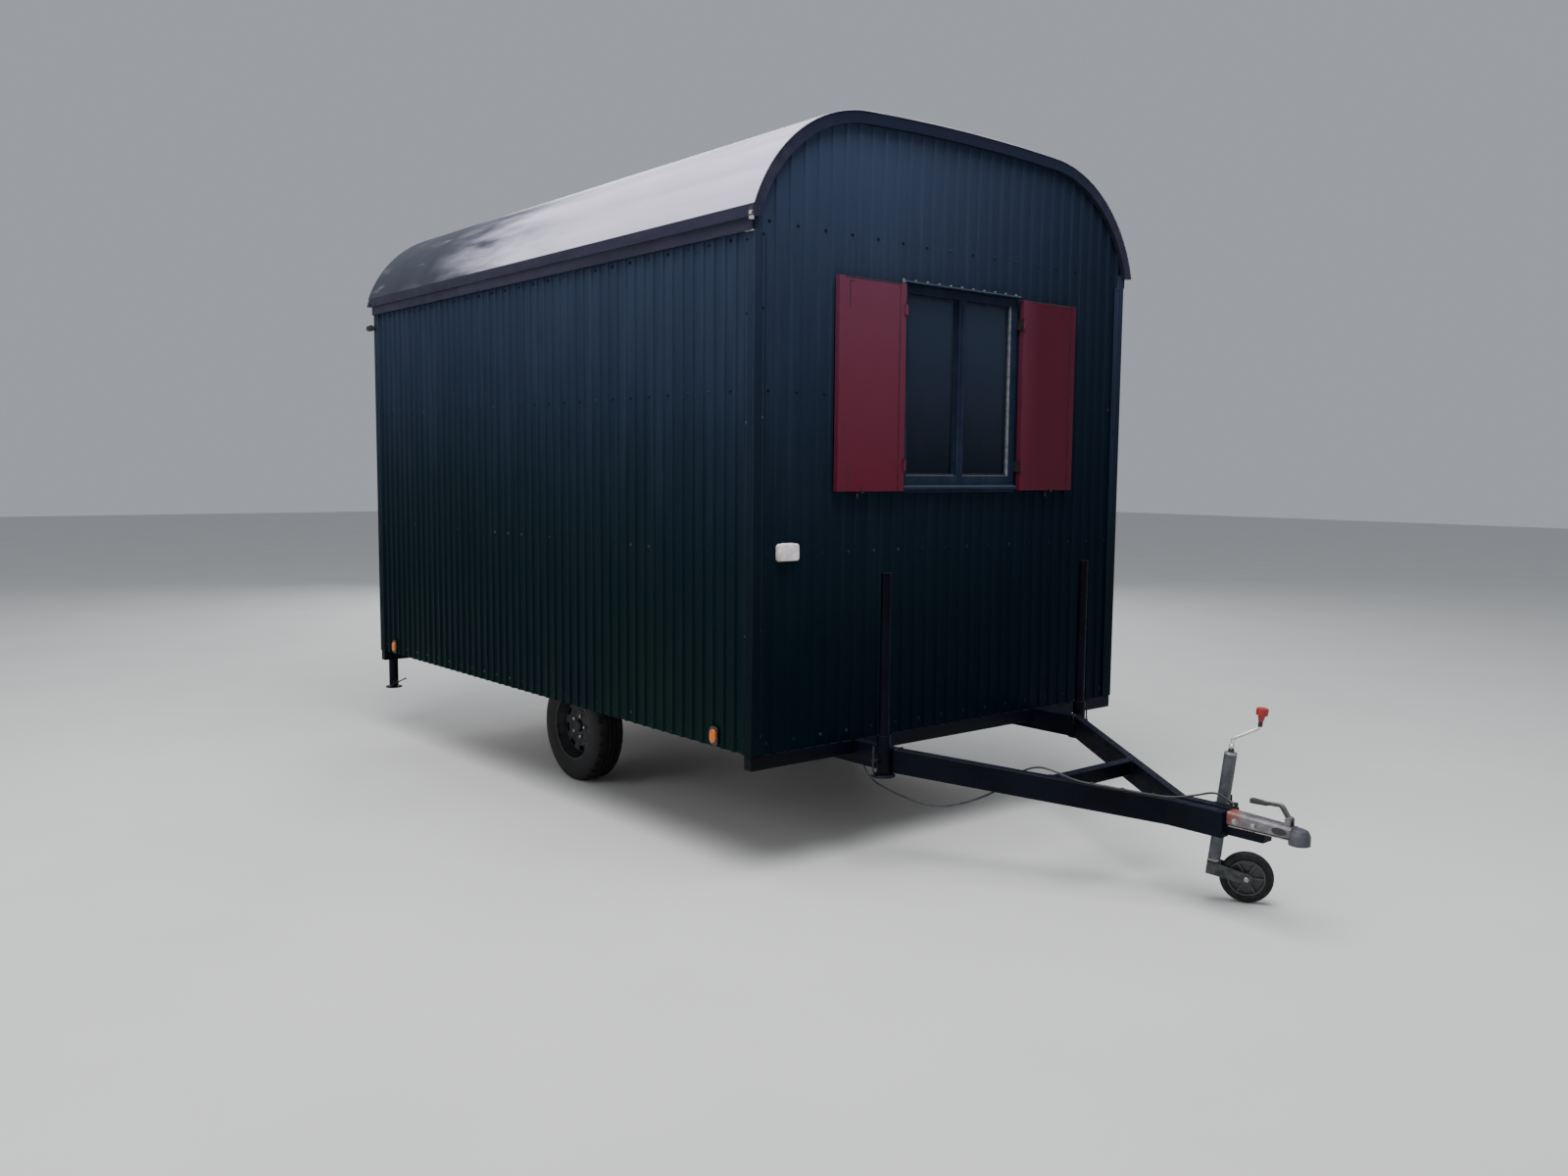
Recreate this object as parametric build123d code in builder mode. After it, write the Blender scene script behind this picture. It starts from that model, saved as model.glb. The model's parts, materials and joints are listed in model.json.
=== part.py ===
"""A shepherd's hut on a two-wheeled chassis, with an arched roof and an A-frame drawbar.

Millimetres. +X points forward, along the drawbar, +Y to the hut's left and +Z up. The origin is on
the ground, under the middle of the whole length and width. The long side that faces -Y is the
right-hand side. A piece that comes in pairs is made by a function that takes side = -1 or +1.
"""
import os
from math import asin, atan2, cos, degrees, radians, sin, tan

from build123d import *

os.makedirs("parts", exist_ok=True)

# Body, over the ribbed sheets
body_length = 3733
body_width = 2337
deck_height = 500
cladding_depth = 12
wall_thickness = 50
floor_thickness = 45
joint_gap = 0.3

# Ribs of the wall sheets
rib_pitch = 72.6
rib_foot = 26
rib_crest = 15
rib_height = 8

# Roof: a flat crown between two tight shoulders
eave_height = 2645
crown_rise = 460
shoulder_drop = 15.2
eave_overhang = 26
eave_slope = 19.4
roof_thickness = 90
roof_sheet_thickness = 3
roof_overhang = 28
arch_trim_depth = 48
arch_trim_thickness = 24
fascia_depth = 48
fascia_thickness = 15

# Corner trims
corner_trim_width = 65
corner_trim_thickness = 3

# Window and shutters, in the front wall
window_width = 741
window_height = 848
window_head_drop = 170
window_frame_width = 38
window_frame_proud = 4
mullion_width = 44
pane_thickness = 6
shutter_width = 378
shutter_below_sill = 27
shutter_below_head = 5
shutter_thickness = 22
shutter_band_width = 32
shutter_band_depth = 3
shutter_gap = 10
shutter_edge_gap = 9
hinge_offset = 7
hinge_pin_radius = 4
hinge_pin_clearance = 0.1
hinge_knuckle_radius = 7
hinge_height = 40
hinge_inset = 110
hinge_set_in = 2
lug_thickness = 4
lug_wall = 2
bracket_thickness = 3
flashing_reach = 34
flashing_height = 16
sill_reach = 26
sill_height = 22

# Door, in the rear wall
door_width = 780
door_head_drop = 148
door_thickness = 40
door_frame_width = 40
door_gap = 4
door_stop_lap = 15
door_handle_height = 1000
handle_inset = 60
handle_plate_width = 36
handle_plate_height = 180
handle_plate_thickness = 6
handle_reach = 50
handle_length = 128
handle_bar_height = 18
handle_bar_depth = 14
handle_stem_radius = 9

# Chassis
rail_width = 50
rail_height = 100
rail_spacing = 1180
beam_height = 60
beam_width = 50
rail_front_reach = 240
drawbar_drop = 105
drawbar_meet = 1170
nose_reach = 1400
nose_gap = 20
crossbar_reach = 780
mount_reach = 150
mount_height = 35
mount_lift = 10
nose_overlap = 120

# Road wheels and axle
axle_setback = 1870
wheel_radius = 285
wheel_sides = 36
tyre_width = 165
tread_shoulder = 24
wheel_inset = 260
rim_radius = 165
rim_width = 140
rim_wall = 12
disc_offset = 23
disc_thickness = 10
hub_radius = 52
hub_length = 90
stub_radius = 17.5
bearing_clearance = 0.05
axle_beam_size = 60
trailing_arm = 130
arm_gap = 10
arm_thickness = 24
arm_end_size = 60
wheel_box_clearance = 50
wheel_box_thickness = 20

# Corner steadies
steady_tube_radius = 21
steady_clearance = 1
steady_sleeve_radius = 28
front_steady_reach = 210
rear_steady_setback = 55
rear_steady_inset = 99
steady_foot_radius = 50
steady_foot_thickness = 8
steady_leg_length = 840
front_sleeve_top = 560
front_sleeve_bottom = 400
rear_sleeve_top = 480
rear_sleeve_bottom = 262
steady_fit_gap = 5
clamp_screw_radius = 7
clamp_bar_radius = 5
clamp_screw_length = 36
clamp_screw_bite = 2
clamp_bar_length = 120
front_screw_height = 60
rear_screw_height = 25
rear_bar_lean = 70

# Jockey wheel
jockey_lean = 7
jockey_reach = 1301
jockey_offset = 100
jockey_clamp_height = 350
jockey_outer_radius = 24
jockey_inner_radius = 19
jockey_tube_bottom = 140
jockey_tube_top = 580
jockey_cap_length = 8
jockey_collar_lift = 12
jockey_collar_length = 14
jockey_collar_gap = 4
jockey_trail = 125
jockey_heading = 30
jockey_wheel_radius = 100
jockey_tyre_half = 22
jockey_axle_radius = 6
jockey_hub_radius = 18
jockey_seat_radius = 70
jockey_shoulder = 8
jockey_sides = 32
jockey_web_thickness = 8
fork_side_gap = 5
fork_thickness = 4
fork_end_size = 18
fork_depth = 45
crank_foot = 60
crank_reach = 87
crank_rise = 58
crank_grip = 30
crank_bend = 14
crank_rod_radius = 6
knob_height = 78
knob_radius = 22
knob_foot_radius = 8
jockey_clamp_length = 60
jockey_clamp_radius = 34
jockey_screw_length = 36
jockey_bar_length = 110

# Coupling
ball_reach = 1670
ball_height = 350
ball_bore_radius = 25.25
socket_radius = 38
socket_depth = 26
socket_crown = 20
dome_height = 36
coupling_width = 62
coupling_corner = 8
shank_height = 44
lever_pivot_reach = 1630
lever_pivot_height = 407
lever_width = 20
lever_thickness = 12
lever_rise = 46
lever_lean = 32
lever_length = 115
lever_bend = 18
ear_thickness = 5
ear_radius = 11
pivot_radius = 5

# Cable along the drawbar, and what holds it
cable_diameter = 8
clip_wall = 3
clip_width = 12
clip_foot = 30
gland_radius = 8
gland_height = 16

# Small fittings
inlet_width = 112
inlet_height = 72
inlet_depth = 22
inlet_slope = 8
inlet_offset = 170
inlet_centre_height = 1310
marker_height = 80
marker_width = 55
marker_depth = 14
marker_lift = 6
marker_front_setback = 247
marker_rear_setback = 215
lamp_height_above_ground = 2468
lamp_setback = 20
lamp_arm = 50
lamp_arm_radius = 9
lamp_radius = 18
lamp_length = 44
small_corner = 8
rod_sides = 8
knuckle_sides = 12

# Places worked out from the sizes above
half_width = body_width / 2
wall_outer = half_width - cladding_depth
wall_inner = wall_outer - wall_thickness
rear_reach = rear_steady_setback + steady_foot_radius
front_reach = ball_reach + socket_radius
front_face = (body_length + rear_reach - front_reach) / 2
rear_face = front_face - body_length
floor_top = deck_height + floor_thickness
nose_top = deck_height - drawbar_drop

# Roof arch, as one large arc over two small ones that it meets without a corner
crown_height = eave_height + crown_rise
eave_half_width = half_width + eave_overhang
shoulder_radius = (crown_rise - shoulder_drop) / (1 - sin(radians(eave_slope)))
shoulder_y = eave_half_width - shoulder_radius * cos(radians(eave_slope))
shoulder_z = eave_height - shoulder_radius * sin(radians(eave_slope))
crown_gap = crown_height - shoulder_radius
crown_centre_z = (crown_gap**2 - shoulder_y**2 - shoulder_z**2) / (2 * shoulder_drop)
meet_angle = atan2(shoulder_y, shoulder_z - crown_centre_z)


def write_piece(piece, name):
    """Label one finished piece and write its STEP file."""
    piece.label = name
    export_step(piece, f"parts/{name}.step")


def arch_points(inset, foot, side):
    """Foot, middle of the shoulder and top of the shoulder of the arch, on one side."""
    radius = shoulder_radius - inset
    foot_angle = asin((foot - shoulder_z) / radius)
    top_angle = radians(90) - meet_angle
    middle_angle = (foot_angle + top_angle) / 2
    return [
        (side * (shoulder_y + radius * cos(angle)), shoulder_z + radius * sin(angle))
        for angle in (foot_angle, middle_angle, top_angle)
    ]


def arch_face(inset, foot, bottom):
    """A gable-shaped face: the arch from its foot up, and straight sides down to bottom."""
    right = arch_points(inset, foot, -1)
    left = arch_points(inset, foot, 1)
    with BuildSketch() as gable:
        with BuildLine():
            ThreePointArc(*right)
            ThreePointArc(right[2], (0, crown_height - inset), left[2])
            ThreePointArc(*left)
            if bottom < foot:
                Polyline(left[0], (left[0][0], bottom), (right[0][0], bottom), right[0])
            else:
                Line(left[0], right[0])
        make_face()
    return gable.sketch


def gable_plane(x):
    """A plane across the hut at x, drawn with Y to the right and Z up, that faces forward."""
    return Plane(origin=(x, 0, 0), x_dir=(0, 1, 0), z_dir=(1, 0, 0))


def side_plane(y, side):
    """A plane along the hut at y that faces outwards on one side; its X runs to the right."""
    return Plane(origin=(0, y, 0), x_dir=(-side, 0, 0), z_dir=(0, side, 0))


def wall_slab(x, depth, y_low, y_high, z_low, z_high):
    """A plain slab from x forwards by depth."""
    with BuildPart() as slab:
        with BuildSketch(gable_plane(x)):
            with Locations(((y_low + y_high) / 2, (z_low + z_high) / 2)):
                Rectangle(y_high - y_low, z_high - z_low)
        extrude(amount=depth)
    return slab.part


def ribbed_strip(length):
    """Section of a ribbed sheet: flat back on the wall, ribs outwards, along the local X axis."""
    count = int((length - rib_foot) // rib_pitch) + 1
    start = -(count - 1) * rib_pitch / 2
    outline = [(-length / 2, 0), (-length / 2, cladding_depth - rib_height)]
    for rib in range(count):
        middle = start + rib * rib_pitch
        outline.append((middle - rib_foot / 2, cladding_depth - rib_height))
        outline.append((middle - rib_crest / 2, cladding_depth))
        outline.append((middle + rib_crest / 2, cladding_depth))
        outline.append((middle + rib_foot / 2, cladding_depth - rib_height))
    outline += [(length / 2, cladding_depth - rib_height), (length / 2, 0)]
    with BuildSketch() as strip:
        with BuildLine():
            Polyline(*outline, close=True)
        make_face()
    return strip.sketch


# Floor: one insulated slab on the chassis, cut out over each road wheel
axle_x = front_face - axle_setback
wheel_outer = half_width - wheel_inset
wheel_inner = wheel_outer - tyre_width
wheel_middle = (wheel_outer + wheel_inner) / 2
box_low = wheel_inner - wheel_box_clearance - wheel_box_thickness
box_high = wheel_outer + wheel_box_clearance + wheel_box_thickness
box_length = 2 * (wheel_radius + wheel_box_clearance + wheel_box_thickness)
box_top = 2 * wheel_radius + wheel_box_clearance + wheel_box_thickness
inner_length = body_length - 2 * cladding_depth - 2 * wall_thickness
box_width = box_high - box_low
box_middle = (box_low + box_high) / 2
with BuildPart() as floor:
    with BuildSketch(Plane.XY.offset(deck_height)):
        with Locations((front_face - body_length / 2, 0)):
            Rectangle(inner_length, 2 * wall_inner)
        with Locations((axle_x, box_middle), (axle_x, -box_middle)):
            Rectangle(box_length, box_width, mode=Mode.SUBTRACT)
    extrude(amount=floor_thickness)
write_piece(floor.part, "floor")

# Wheel boxes: open below, over each road wheel
bay_length = box_length - 2 * wheel_box_thickness
bay_width = box_width - 2 * wheel_box_thickness
with BuildPart() as wheel_boxes:
    with BuildSketch(Plane.XY.offset(deck_height)):
        with Locations((axle_x, box_middle), (axle_x, -box_middle)):
            Rectangle(box_length, box_width)
    extrude(amount=box_top - deck_height)
    with BuildSketch(Plane.XY.offset(deck_height)):
        with Locations((axle_x, box_middle), (axle_x, -box_middle)):
            Rectangle(bay_length, bay_width)
    extrude(amount=box_top - deck_height - wheel_box_thickness, mode=Mode.SUBTRACT)
write_piece(wheel_boxes.part, "wheel_boxes")

# Side walls: plain insulated slabs that carry the roof
roof_foot = eave_height - fascia_depth
side_length = body_length - 2 * cladding_depth
for side, name in ((-1, "right_wall"), (1, "left_wall")):
    low, high = sorted((side * wall_inner, side * wall_outer))
    slab = wall_slab(rear_face + cladding_depth, side_length, low, high, deck_height, roof_foot)
    write_piece(slab, name)

# Front wall: below, beside and above the window
front_inner = front_face - cladding_depth - wall_thickness
window_half = window_width / 2
window_top = roof_foot - window_head_drop
window_bottom = window_top - window_height
window_middle = (window_bottom + window_top) / 2
lower_wall = wall_slab(
    front_inner, wall_thickness, -wall_inner, wall_inner, deck_height, window_bottom
)
write_piece(lower_wall, "front_wall_lower")
pier_middle = (window_half + wall_inner) / 2
with BuildPart() as front_wall_sides:
    with BuildSketch(gable_plane(front_inner)):
        with Locations((-pier_middle, window_middle), (pier_middle, window_middle)):
            Rectangle(wall_inner - window_half, window_height)
    extrude(amount=wall_thickness)
write_piece(front_wall_sides.part, "front_wall_sides")


def gable_wall(x, bottom):
    """The part of an end wall over its opening, up to the underside of the roof."""
    with BuildPart() as gable:
        with BuildSketch(gable_plane(x)):
            add(arch_face(roof_thickness, roof_foot, roof_foot))
            with Locations((0, (bottom + roof_foot) / 2)):
                Rectangle(2 * wall_inner, roof_foot - bottom)
        extrude(amount=wall_thickness)
    return gable.part


write_piece(gable_wall(front_inner, window_top), "front_wall_gable")

# Rear wall: beside and above the door
rear_outer = rear_face + cladding_depth
doorway_half = door_width / 2 + door_gap + door_frame_width
doorway_top = roof_foot - door_head_drop
doorway_height = doorway_top - deck_height
doorway_middle = (deck_height + doorway_top) / 2
rear_pier_middle = (doorway_half + wall_inner) / 2
with BuildPart() as rear_wall_sides:
    with BuildSketch(gable_plane(rear_outer)):
        with Locations((-rear_pier_middle, doorway_middle), (rear_pier_middle, doorway_middle)):
            Rectangle(wall_inner - doorway_half, doorway_height)
    extrude(amount=wall_thickness)
write_piece(rear_wall_sides.part, "rear_wall_sides")
write_piece(gable_wall(rear_outer, doorway_top), "rear_wall_gable")

# Ribbed sheets on the side walls, from the deck up to the fascias
for side, name in ((-1, "right_cladding"), (1, "left_cladding")):
    sheet_origin = (front_face - body_length / 2, side * wall_outer, deck_height)
    sheet_plane = Plane(origin=sheet_origin, x_dir=(side, 0, 0), z_dir=(0, 0, 1))
    with BuildPart() as side_cladding:
        with BuildSketch(sheet_plane):
            add(ribbed_strip(side_length))
        extrude(amount=roof_foot - deck_height)
    write_piece(side_cladding.part, name)


def end_cladding(x, facing, hole_width, hole_bottom, hole_top):
    """Ribbed sheet on an end wall: cut to the roof arch, with a hole for its window or door."""
    sheet_plane = Plane(origin=(x, 0, deck_height), x_dir=(0, -facing, 0), z_dir=(0, 0, 1))
    with BuildPart() as sheet:
        with BuildSketch(sheet_plane):
            add(ribbed_strip(2 * wall_outer))
        extrude(amount=crown_height - deck_height)
        with BuildSketch(gable_plane(x - 2 * cladding_depth)):
            add(arch_face(roof_sheet_thickness, eave_height, deck_height))
        extrude(amount=4 * cladding_depth, mode=Mode.INTERSECT)
        with BuildSketch(gable_plane(x - 2 * cladding_depth)):
            with Locations((0, (hole_bottom + hole_top) / 2)):
                Rectangle(hole_width, hole_top - hole_bottom)
        extrude(amount=4 * cladding_depth, mode=Mode.SUBTRACT)
    return sheet.part


front_outer = front_face - cladding_depth
front_sheet = end_cladding(front_outer, 1, window_width, window_bottom, window_top)
write_piece(front_sheet, "front_cladding")
rear_sheet = end_cladding(rear_outer, -1, 2 * doorway_half, deck_height, doorway_top)
write_piece(rear_sheet, "rear_cladding")

# Corner trims: one angle over each corner of the body, from the deck to the lower fascia
cladding_top = roof_foot - fascia_depth
with BuildPart() as corner_trims:
    for corner_x, inwards_x in ((front_face, -1), (rear_face, 1)):
        for side in (-1, 1):
            outer_x = corner_x - inwards_x * corner_trim_thickness
            outer_y = side * (half_width + corner_trim_thickness)
            leg_x = outer_x + inwards_x * corner_trim_width
            leg_y = outer_y - side * corner_trim_width
            with BuildSketch(Plane.XY.offset(deck_height)):
                with BuildLine():
                    Polyline(
                        (outer_x, outer_y),
                        (leg_x, outer_y),
                        (leg_x, side * half_width),
                        (corner_x, side * half_width),
                        (corner_x, leg_y),
                        (outer_x, leg_y),
                        close=True,
                    )
                make_face()
            extrude(amount=cladding_top - deck_height)
write_piece(corner_trims.part, "corner_trims")

# Roof shell: the insulated arch, standing on the side walls between the end claddings
shell_edge = eave_half_width - fascia_thickness
shell_back = rear_face + cladding_depth
with BuildPart() as roof_shell:
    with BuildSketch(gable_plane(shell_back)):
        add(arch_face(roof_sheet_thickness, eave_height, eave_height))
        with Locations((0, (roof_foot + eave_height) / 2)):
            Rectangle(2 * shell_edge, eave_height - roof_foot)
        add(arch_face(roof_thickness, roof_foot, roof_foot), mode=Mode.SUBTRACT)
    extrude(amount=side_length)
write_piece(roof_shell.part, "roof_shell")


def arch_band(x, length, inset, depth, foot):
    """A band that follows the roof arch, from x forwards."""
    with BuildPart() as band:
        with BuildSketch(gable_plane(x)):
            add(arch_face(inset, foot, foot))
            add(arch_face(inset + depth, foot, foot), mode=Mode.SUBTRACT)
        extrude(amount=length)
    return band.part


# Roof sheet: one bent metal sheet, from eave to eave and past both ends
sheet_length = body_length + 2 * roof_overhang
top_sheet = arch_band(rear_face - roof_overhang, sheet_length, 0, roof_sheet_thickness, eave_height)
write_piece(top_sheet, "roof_sheet")

# Arch trims: a bent strip on each end wall, right under the edge of the roof sheet
with BuildPart() as arch_trims:
    for x in (front_face, rear_face - arch_trim_thickness):
        add(arch_band(x, arch_trim_thickness, roof_sheet_thickness, arch_trim_depth, roof_foot))
write_piece(arch_trims.part, "arch_trims")

# Eave fascias: an upper strip over the edge of the roof, and a lower one on the wall sheet
upper_middle = shell_edge + fascia_thickness / 2
lower_middle = half_width + fascia_thickness / 2
with BuildPart() as eave_fascias:
    with BuildSketch(gable_plane(rear_face)):
        for side in (-1, 1):
            with Locations((side * upper_middle, roof_foot + fascia_depth / 2)):
                Rectangle(fascia_thickness, fascia_depth)
            with Locations((side * lower_middle, roof_foot - fascia_depth / 2)):
                Rectangle(fascia_thickness, fascia_depth)
    extrude(amount=body_length)
write_piece(eave_fascias.part, "eave_fascias")

# Window: a dark frame with a mullion, through the wall, and two fixed panes
frame_back = front_inner
frame_front = front_face + window_frame_proud
pane_width = (window_width - 2 * window_frame_width - mullion_width) / 2
pane_height = window_height - 2 * window_frame_width
pane_middle = (mullion_width + pane_width) / 2
with BuildPart() as window_frame:
    with BuildSketch(gable_plane(frame_back)):
        with Locations((0, window_middle)):
            Rectangle(window_width, window_height)
        with Locations((-pane_middle, window_middle), (pane_middle, window_middle)):
            Rectangle(pane_width, pane_height, mode=Mode.SUBTRACT)
    extrude(amount=frame_front - frame_back)
write_piece(window_frame.part, "window_frame")

with BuildPart() as window_panes:
    with BuildSketch(gable_plane(front_face - wall_thickness / 2)):
        with Locations((-pane_middle, window_middle), (pane_middle, window_middle)):
            Rectangle(pane_width, pane_height)
    extrude(amount=pane_thickness)
write_piece(window_panes.part, "window_panes")

# Drip flashing over the window, folded from one strip with a sloping top
with BuildPart() as drip_flashing:
    with BuildSketch(Plane.XZ.offset(-window_half)):
        with BuildLine():
            Polyline(
                (front_face, window_top + flashing_height),
                (front_face, window_top),
                (front_face + flashing_reach, window_top),
                (front_face + flashing_reach, window_top + flashing_height / 4),
                close=True,
            )
        make_face()
    extrude(amount=window_width)
write_piece(drip_flashing.part, "drip_flashing")

# Window sill, sloping to the front
with BuildPart() as window_sill:
    with BuildSketch(Plane.XZ.offset(-window_half)):
        with BuildLine():
            Polyline(
                (front_face, window_bottom),
                (front_face, window_bottom - sill_height),
                (front_face + sill_reach, window_bottom - sill_height),
                (front_face + sill_reach, window_bottom - sill_height / 2),
                close=True,
            )
        make_face()
    extrude(amount=window_width)
write_piece(window_sill.part, "window_sill")

# Shutters: a leaf on each side of the window, folded back flat against the wall
hinge_x = front_face + shutter_gap + shutter_thickness + hinge_offset
leaf_edge = window_half + shutter_edge_gap
hinge_y = leaf_edge + hinge_set_in
leaf_front = front_face + shutter_gap + shutter_thickness
shutter_bottom = window_bottom - shutter_below_sill
shutter_top = window_top - shutter_below_head
shutter_height = shutter_top - shutter_bottom
shutter_middle = (shutter_bottom + shutter_top) / 2
hinge_heights = (shutter_bottom + hinge_inset, shutter_top - hinge_inset)
bracket_height = hinge_height + 2 * joint_gap + 2 * lug_thickness
notch_width = hinge_set_in + hinge_knuckle_radius + lug_wall
pin_hole_radius = hinge_pin_radius + hinge_pin_clearance


def shutter(side):
    """One leaf, with a raised band along each upright edge and a knuckle at each hinge."""
    leaf_middle = side * (leaf_edge + shutter_width / 2)
    band_shift = (shutter_width - shutter_band_width) / 2
    strap_width = leaf_edge + shutter_band_width - hinge_y
    with BuildPart() as leaf:
        with BuildSketch(gable_plane(front_face + shutter_gap)):
            with Locations((leaf_middle, shutter_middle)):
                Rectangle(shutter_width, shutter_height)
        extrude(amount=shutter_thickness)
        with BuildSketch(gable_plane(leaf_front)):
            for band_middle in (leaf_middle - band_shift, leaf_middle + band_shift):
                with Locations((band_middle, shutter_middle)):
                    Rectangle(shutter_band_width, shutter_height)
        extrude(amount=shutter_band_depth)
        for height in hinge_heights:
            with BuildSketch(gable_plane(leaf_front)):
                with Locations((side * (leaf_edge + notch_width / 2), height)):
                    Rectangle(notch_width, bracket_height + 2 * joint_gap)
            extrude(amount=shutter_band_depth, mode=Mode.SUBTRACT)
        for height in hinge_heights:
            with BuildSketch(gable_plane(leaf_front)):
                with Locations((side * (hinge_y + strap_width / 2), height)):
                    Rectangle(strap_width, hinge_height)
            extrude(amount=shutter_band_depth)
            with BuildSketch(Plane.XY.offset(height - hinge_height / 2)):
                with Locations((hinge_x, side * hinge_y)):
                    RegularPolygon(hinge_knuckle_radius, knuckle_sides)
            extrude(amount=hinge_height)
        for height in hinge_heights:
            with BuildSketch(Plane.XY.offset(height - hinge_height)):
                with Locations((hinge_x, side * hinge_y)):
                    RegularPolygon(pin_hole_radius, knuckle_sides, major_radius=False)
            extrude(amount=2 * hinge_height, mode=Mode.SUBTRACT)
    return leaf.part


for side, name in ((-1, "right_shutter"), (1, "left_shutter")):
    write_piece(shutter(side), name)

# Shutter hinges: a bracket on the wall, in the slit beside each leaf, with two lugs and the pin
bracket_y = window_half + hinge_set_in
bracket_reach = hinge_x - lug_thickness - front_face
lug_radius = hinge_pin_radius + lug_wall
lug_length = hinge_y - bracket_y + bracket_thickness
with BuildPart() as shutter_hinges:
    for side in (-1, 1):
        for height in hinge_heights:
            bracket_low = height - bracket_height / 2
            with BuildSketch(Plane.XY.offset(bracket_low)):
                with Locations((hinge_x, side * hinge_y)):
                    RegularPolygon(hinge_pin_radius, rod_sides)
            extrude(amount=bracket_height)
            with BuildSketch(Plane.XY.offset(bracket_low)):
                with Locations((front_face + bracket_reach / 2, side * bracket_y)):
                    Rectangle(bracket_reach, bracket_thickness)
            extrude(amount=bracket_height)
            for lug_bottom in (bracket_low, bracket_low + bracket_height - lug_thickness):
                with BuildSketch(Plane.XY.offset(lug_bottom)):
                    with Locations((hinge_x, side * hinge_y)):
                        RegularPolygon(lug_radius, rod_sides)
                    with Locations((hinge_x - lug_radius / 2, side * (hinge_y + bracket_y) / 2)):
                        Rectangle(lug_radius, lug_length)
                extrude(amount=lug_thickness)
write_piece(shutter_hinges.part, "shutter_hinges")

# Rear door: a flush leaf that closes against the stop of a plain frame
clear_width = door_width + 2 * door_gap
clear_height = doorway_top - door_frame_width - floor_top
stop_width = clear_width - 2 * door_stop_lap
stop_height = clear_height - door_stop_lap
with BuildPart() as door_frame:
    with BuildSketch(gable_plane(rear_face)):
        with Locations((0, doorway_middle)):
            Rectangle(2 * doorway_half, doorway_height)
        with Locations((0, floor_top + clear_height / 2)):
            Rectangle(clear_width, clear_height, mode=Mode.SUBTRACT)
    extrude(amount=cladding_depth + wall_thickness)
    with BuildSketch(gable_plane(rear_outer + door_thickness)):
        with Locations((0, floor_top + clear_height / 2)):
            Rectangle(clear_width, clear_height)
        with Locations((0, floor_top + stop_height / 2)):
            Rectangle(stop_width, stop_height, mode=Mode.SUBTRACT)
    extrude(amount=wall_thickness - door_thickness)
write_piece(door_frame.part, "door_frame")

with BuildPart() as door:
    with BuildSketch(gable_plane(rear_outer)):
        with Locations((0, floor_top + clear_height / 2)):
            Rectangle(door_width, clear_height - 2 * door_gap)
    extrude(amount=door_thickness)
write_piece(door.part, "door")

# Chassis rails: two box sections under the deck, from the rear beam to just past the front wall
rail_back = rear_face + beam_width
rail_front = front_face + rail_front_reach
with BuildPart() as chassis_rails:
    with BuildSketch(gable_plane(rail_back)):
        for side in (-1, 1):
            with Locations((side * rail_spacing / 2, deck_height - rail_height / 2)):
                Rectangle(rail_width, rail_height)
    extrude(amount=rail_front - rail_back)
write_piece(chassis_rails.part, "chassis_rails")

# Crossbeams: the front one between and beside the rails, the rear one across their ends
beam_middle = deck_height - beam_height / 2
rail_outer = rail_spacing / 2 + rail_width / 2
rail_inner = rail_spacing / 2 - rail_width / 2
with BuildPart() as end_beams:
    with BuildSketch(gable_plane(front_face - beam_width)):
        with Locations((0, beam_middle)):
            Rectangle(2 * rail_inner, beam_height)
        for side in (-1, 1):
            with Locations((side * (rail_outer + half_width) / 2, beam_middle)):
                Rectangle(half_width - rail_outer, beam_height)
    extrude(amount=beam_width)
    with BuildSketch(gable_plane(rear_face)):
        with Locations((0, beam_middle)):
            Rectangle(body_width, beam_height)
    extrude(amount=beam_width)
write_piece(end_beams.part, "end_beams")

# Drawbar legs: from the rails they bend in and down, and end side by side in the nose, where a
# short bar between them carries the coupling
mount_bottom = nose_top - rail_height + mount_lift
meet_x = front_face + drawbar_meet
nose_x = front_face + nose_reach
nose_middle = (nose_gap + rail_width) / 2
with BuildPart() as drawbar_legs:
    for side in (-1, 1):
        stations = (
            (rail_front, rail_spacing / 2, deck_height),
            (meet_x, nose_middle, nose_top),
            (nose_x, nose_middle, nose_top),
        )
        for start, end in zip(stations, stations[1:]):
            for x, reach, top in (start, end):
                with BuildSketch(gable_plane(x)):
                    with Locations((side * reach, top - rail_height / 2)):
                        Rectangle(rail_width, rail_height)
            loft(ruled=True)
    with BuildSketch(gable_plane(nose_x - nose_overlap)):
        with Locations((0, mount_bottom + mount_height / 2)):
            Rectangle(nose_gap, mount_height)
    extrude(amount=nose_overlap)
    with BuildSketch(gable_plane(nose_x)):
        with Locations((0, mount_bottom + mount_height / 2)):
            Rectangle(coupling_width, mount_height)
    extrude(amount=mount_reach)
write_piece(drawbar_legs.part, "drawbar_legs")

# Crossbar between the legs
crossbar_x = front_face + crossbar_reach
leg_share = (crossbar_x - rail_front) / (meet_x - rail_front)
leg_offset = rail_spacing / 2 + leg_share * (nose_middle - rail_spacing / 2)
leg_top = deck_height + leg_share * (nose_top - deck_height)
leg_inward = (rail_spacing / 2 - nose_middle) / (meet_x - rail_front)
bar_back = crossbar_x - beam_width / 2
bar_front = crossbar_x + beam_width / 2
back_half = leg_offset - rail_width / 2 + leg_inward * beam_width / 2
front_half = leg_offset - rail_width / 2 - leg_inward * beam_width / 2
with BuildPart() as drawbar_crossbar:
    with BuildSketch(Plane.XY.offset(leg_top - beam_height)):
        with BuildLine():
            Polyline(
                (bar_back, -back_half),
                (bar_front, -front_half),
                (bar_front, front_half),
                (bar_back, back_half),
                close=True,
            )
        make_face()
    extrude(amount=beam_height)
write_piece(drawbar_crossbar.part, "drawbar_crossbar")

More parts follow.
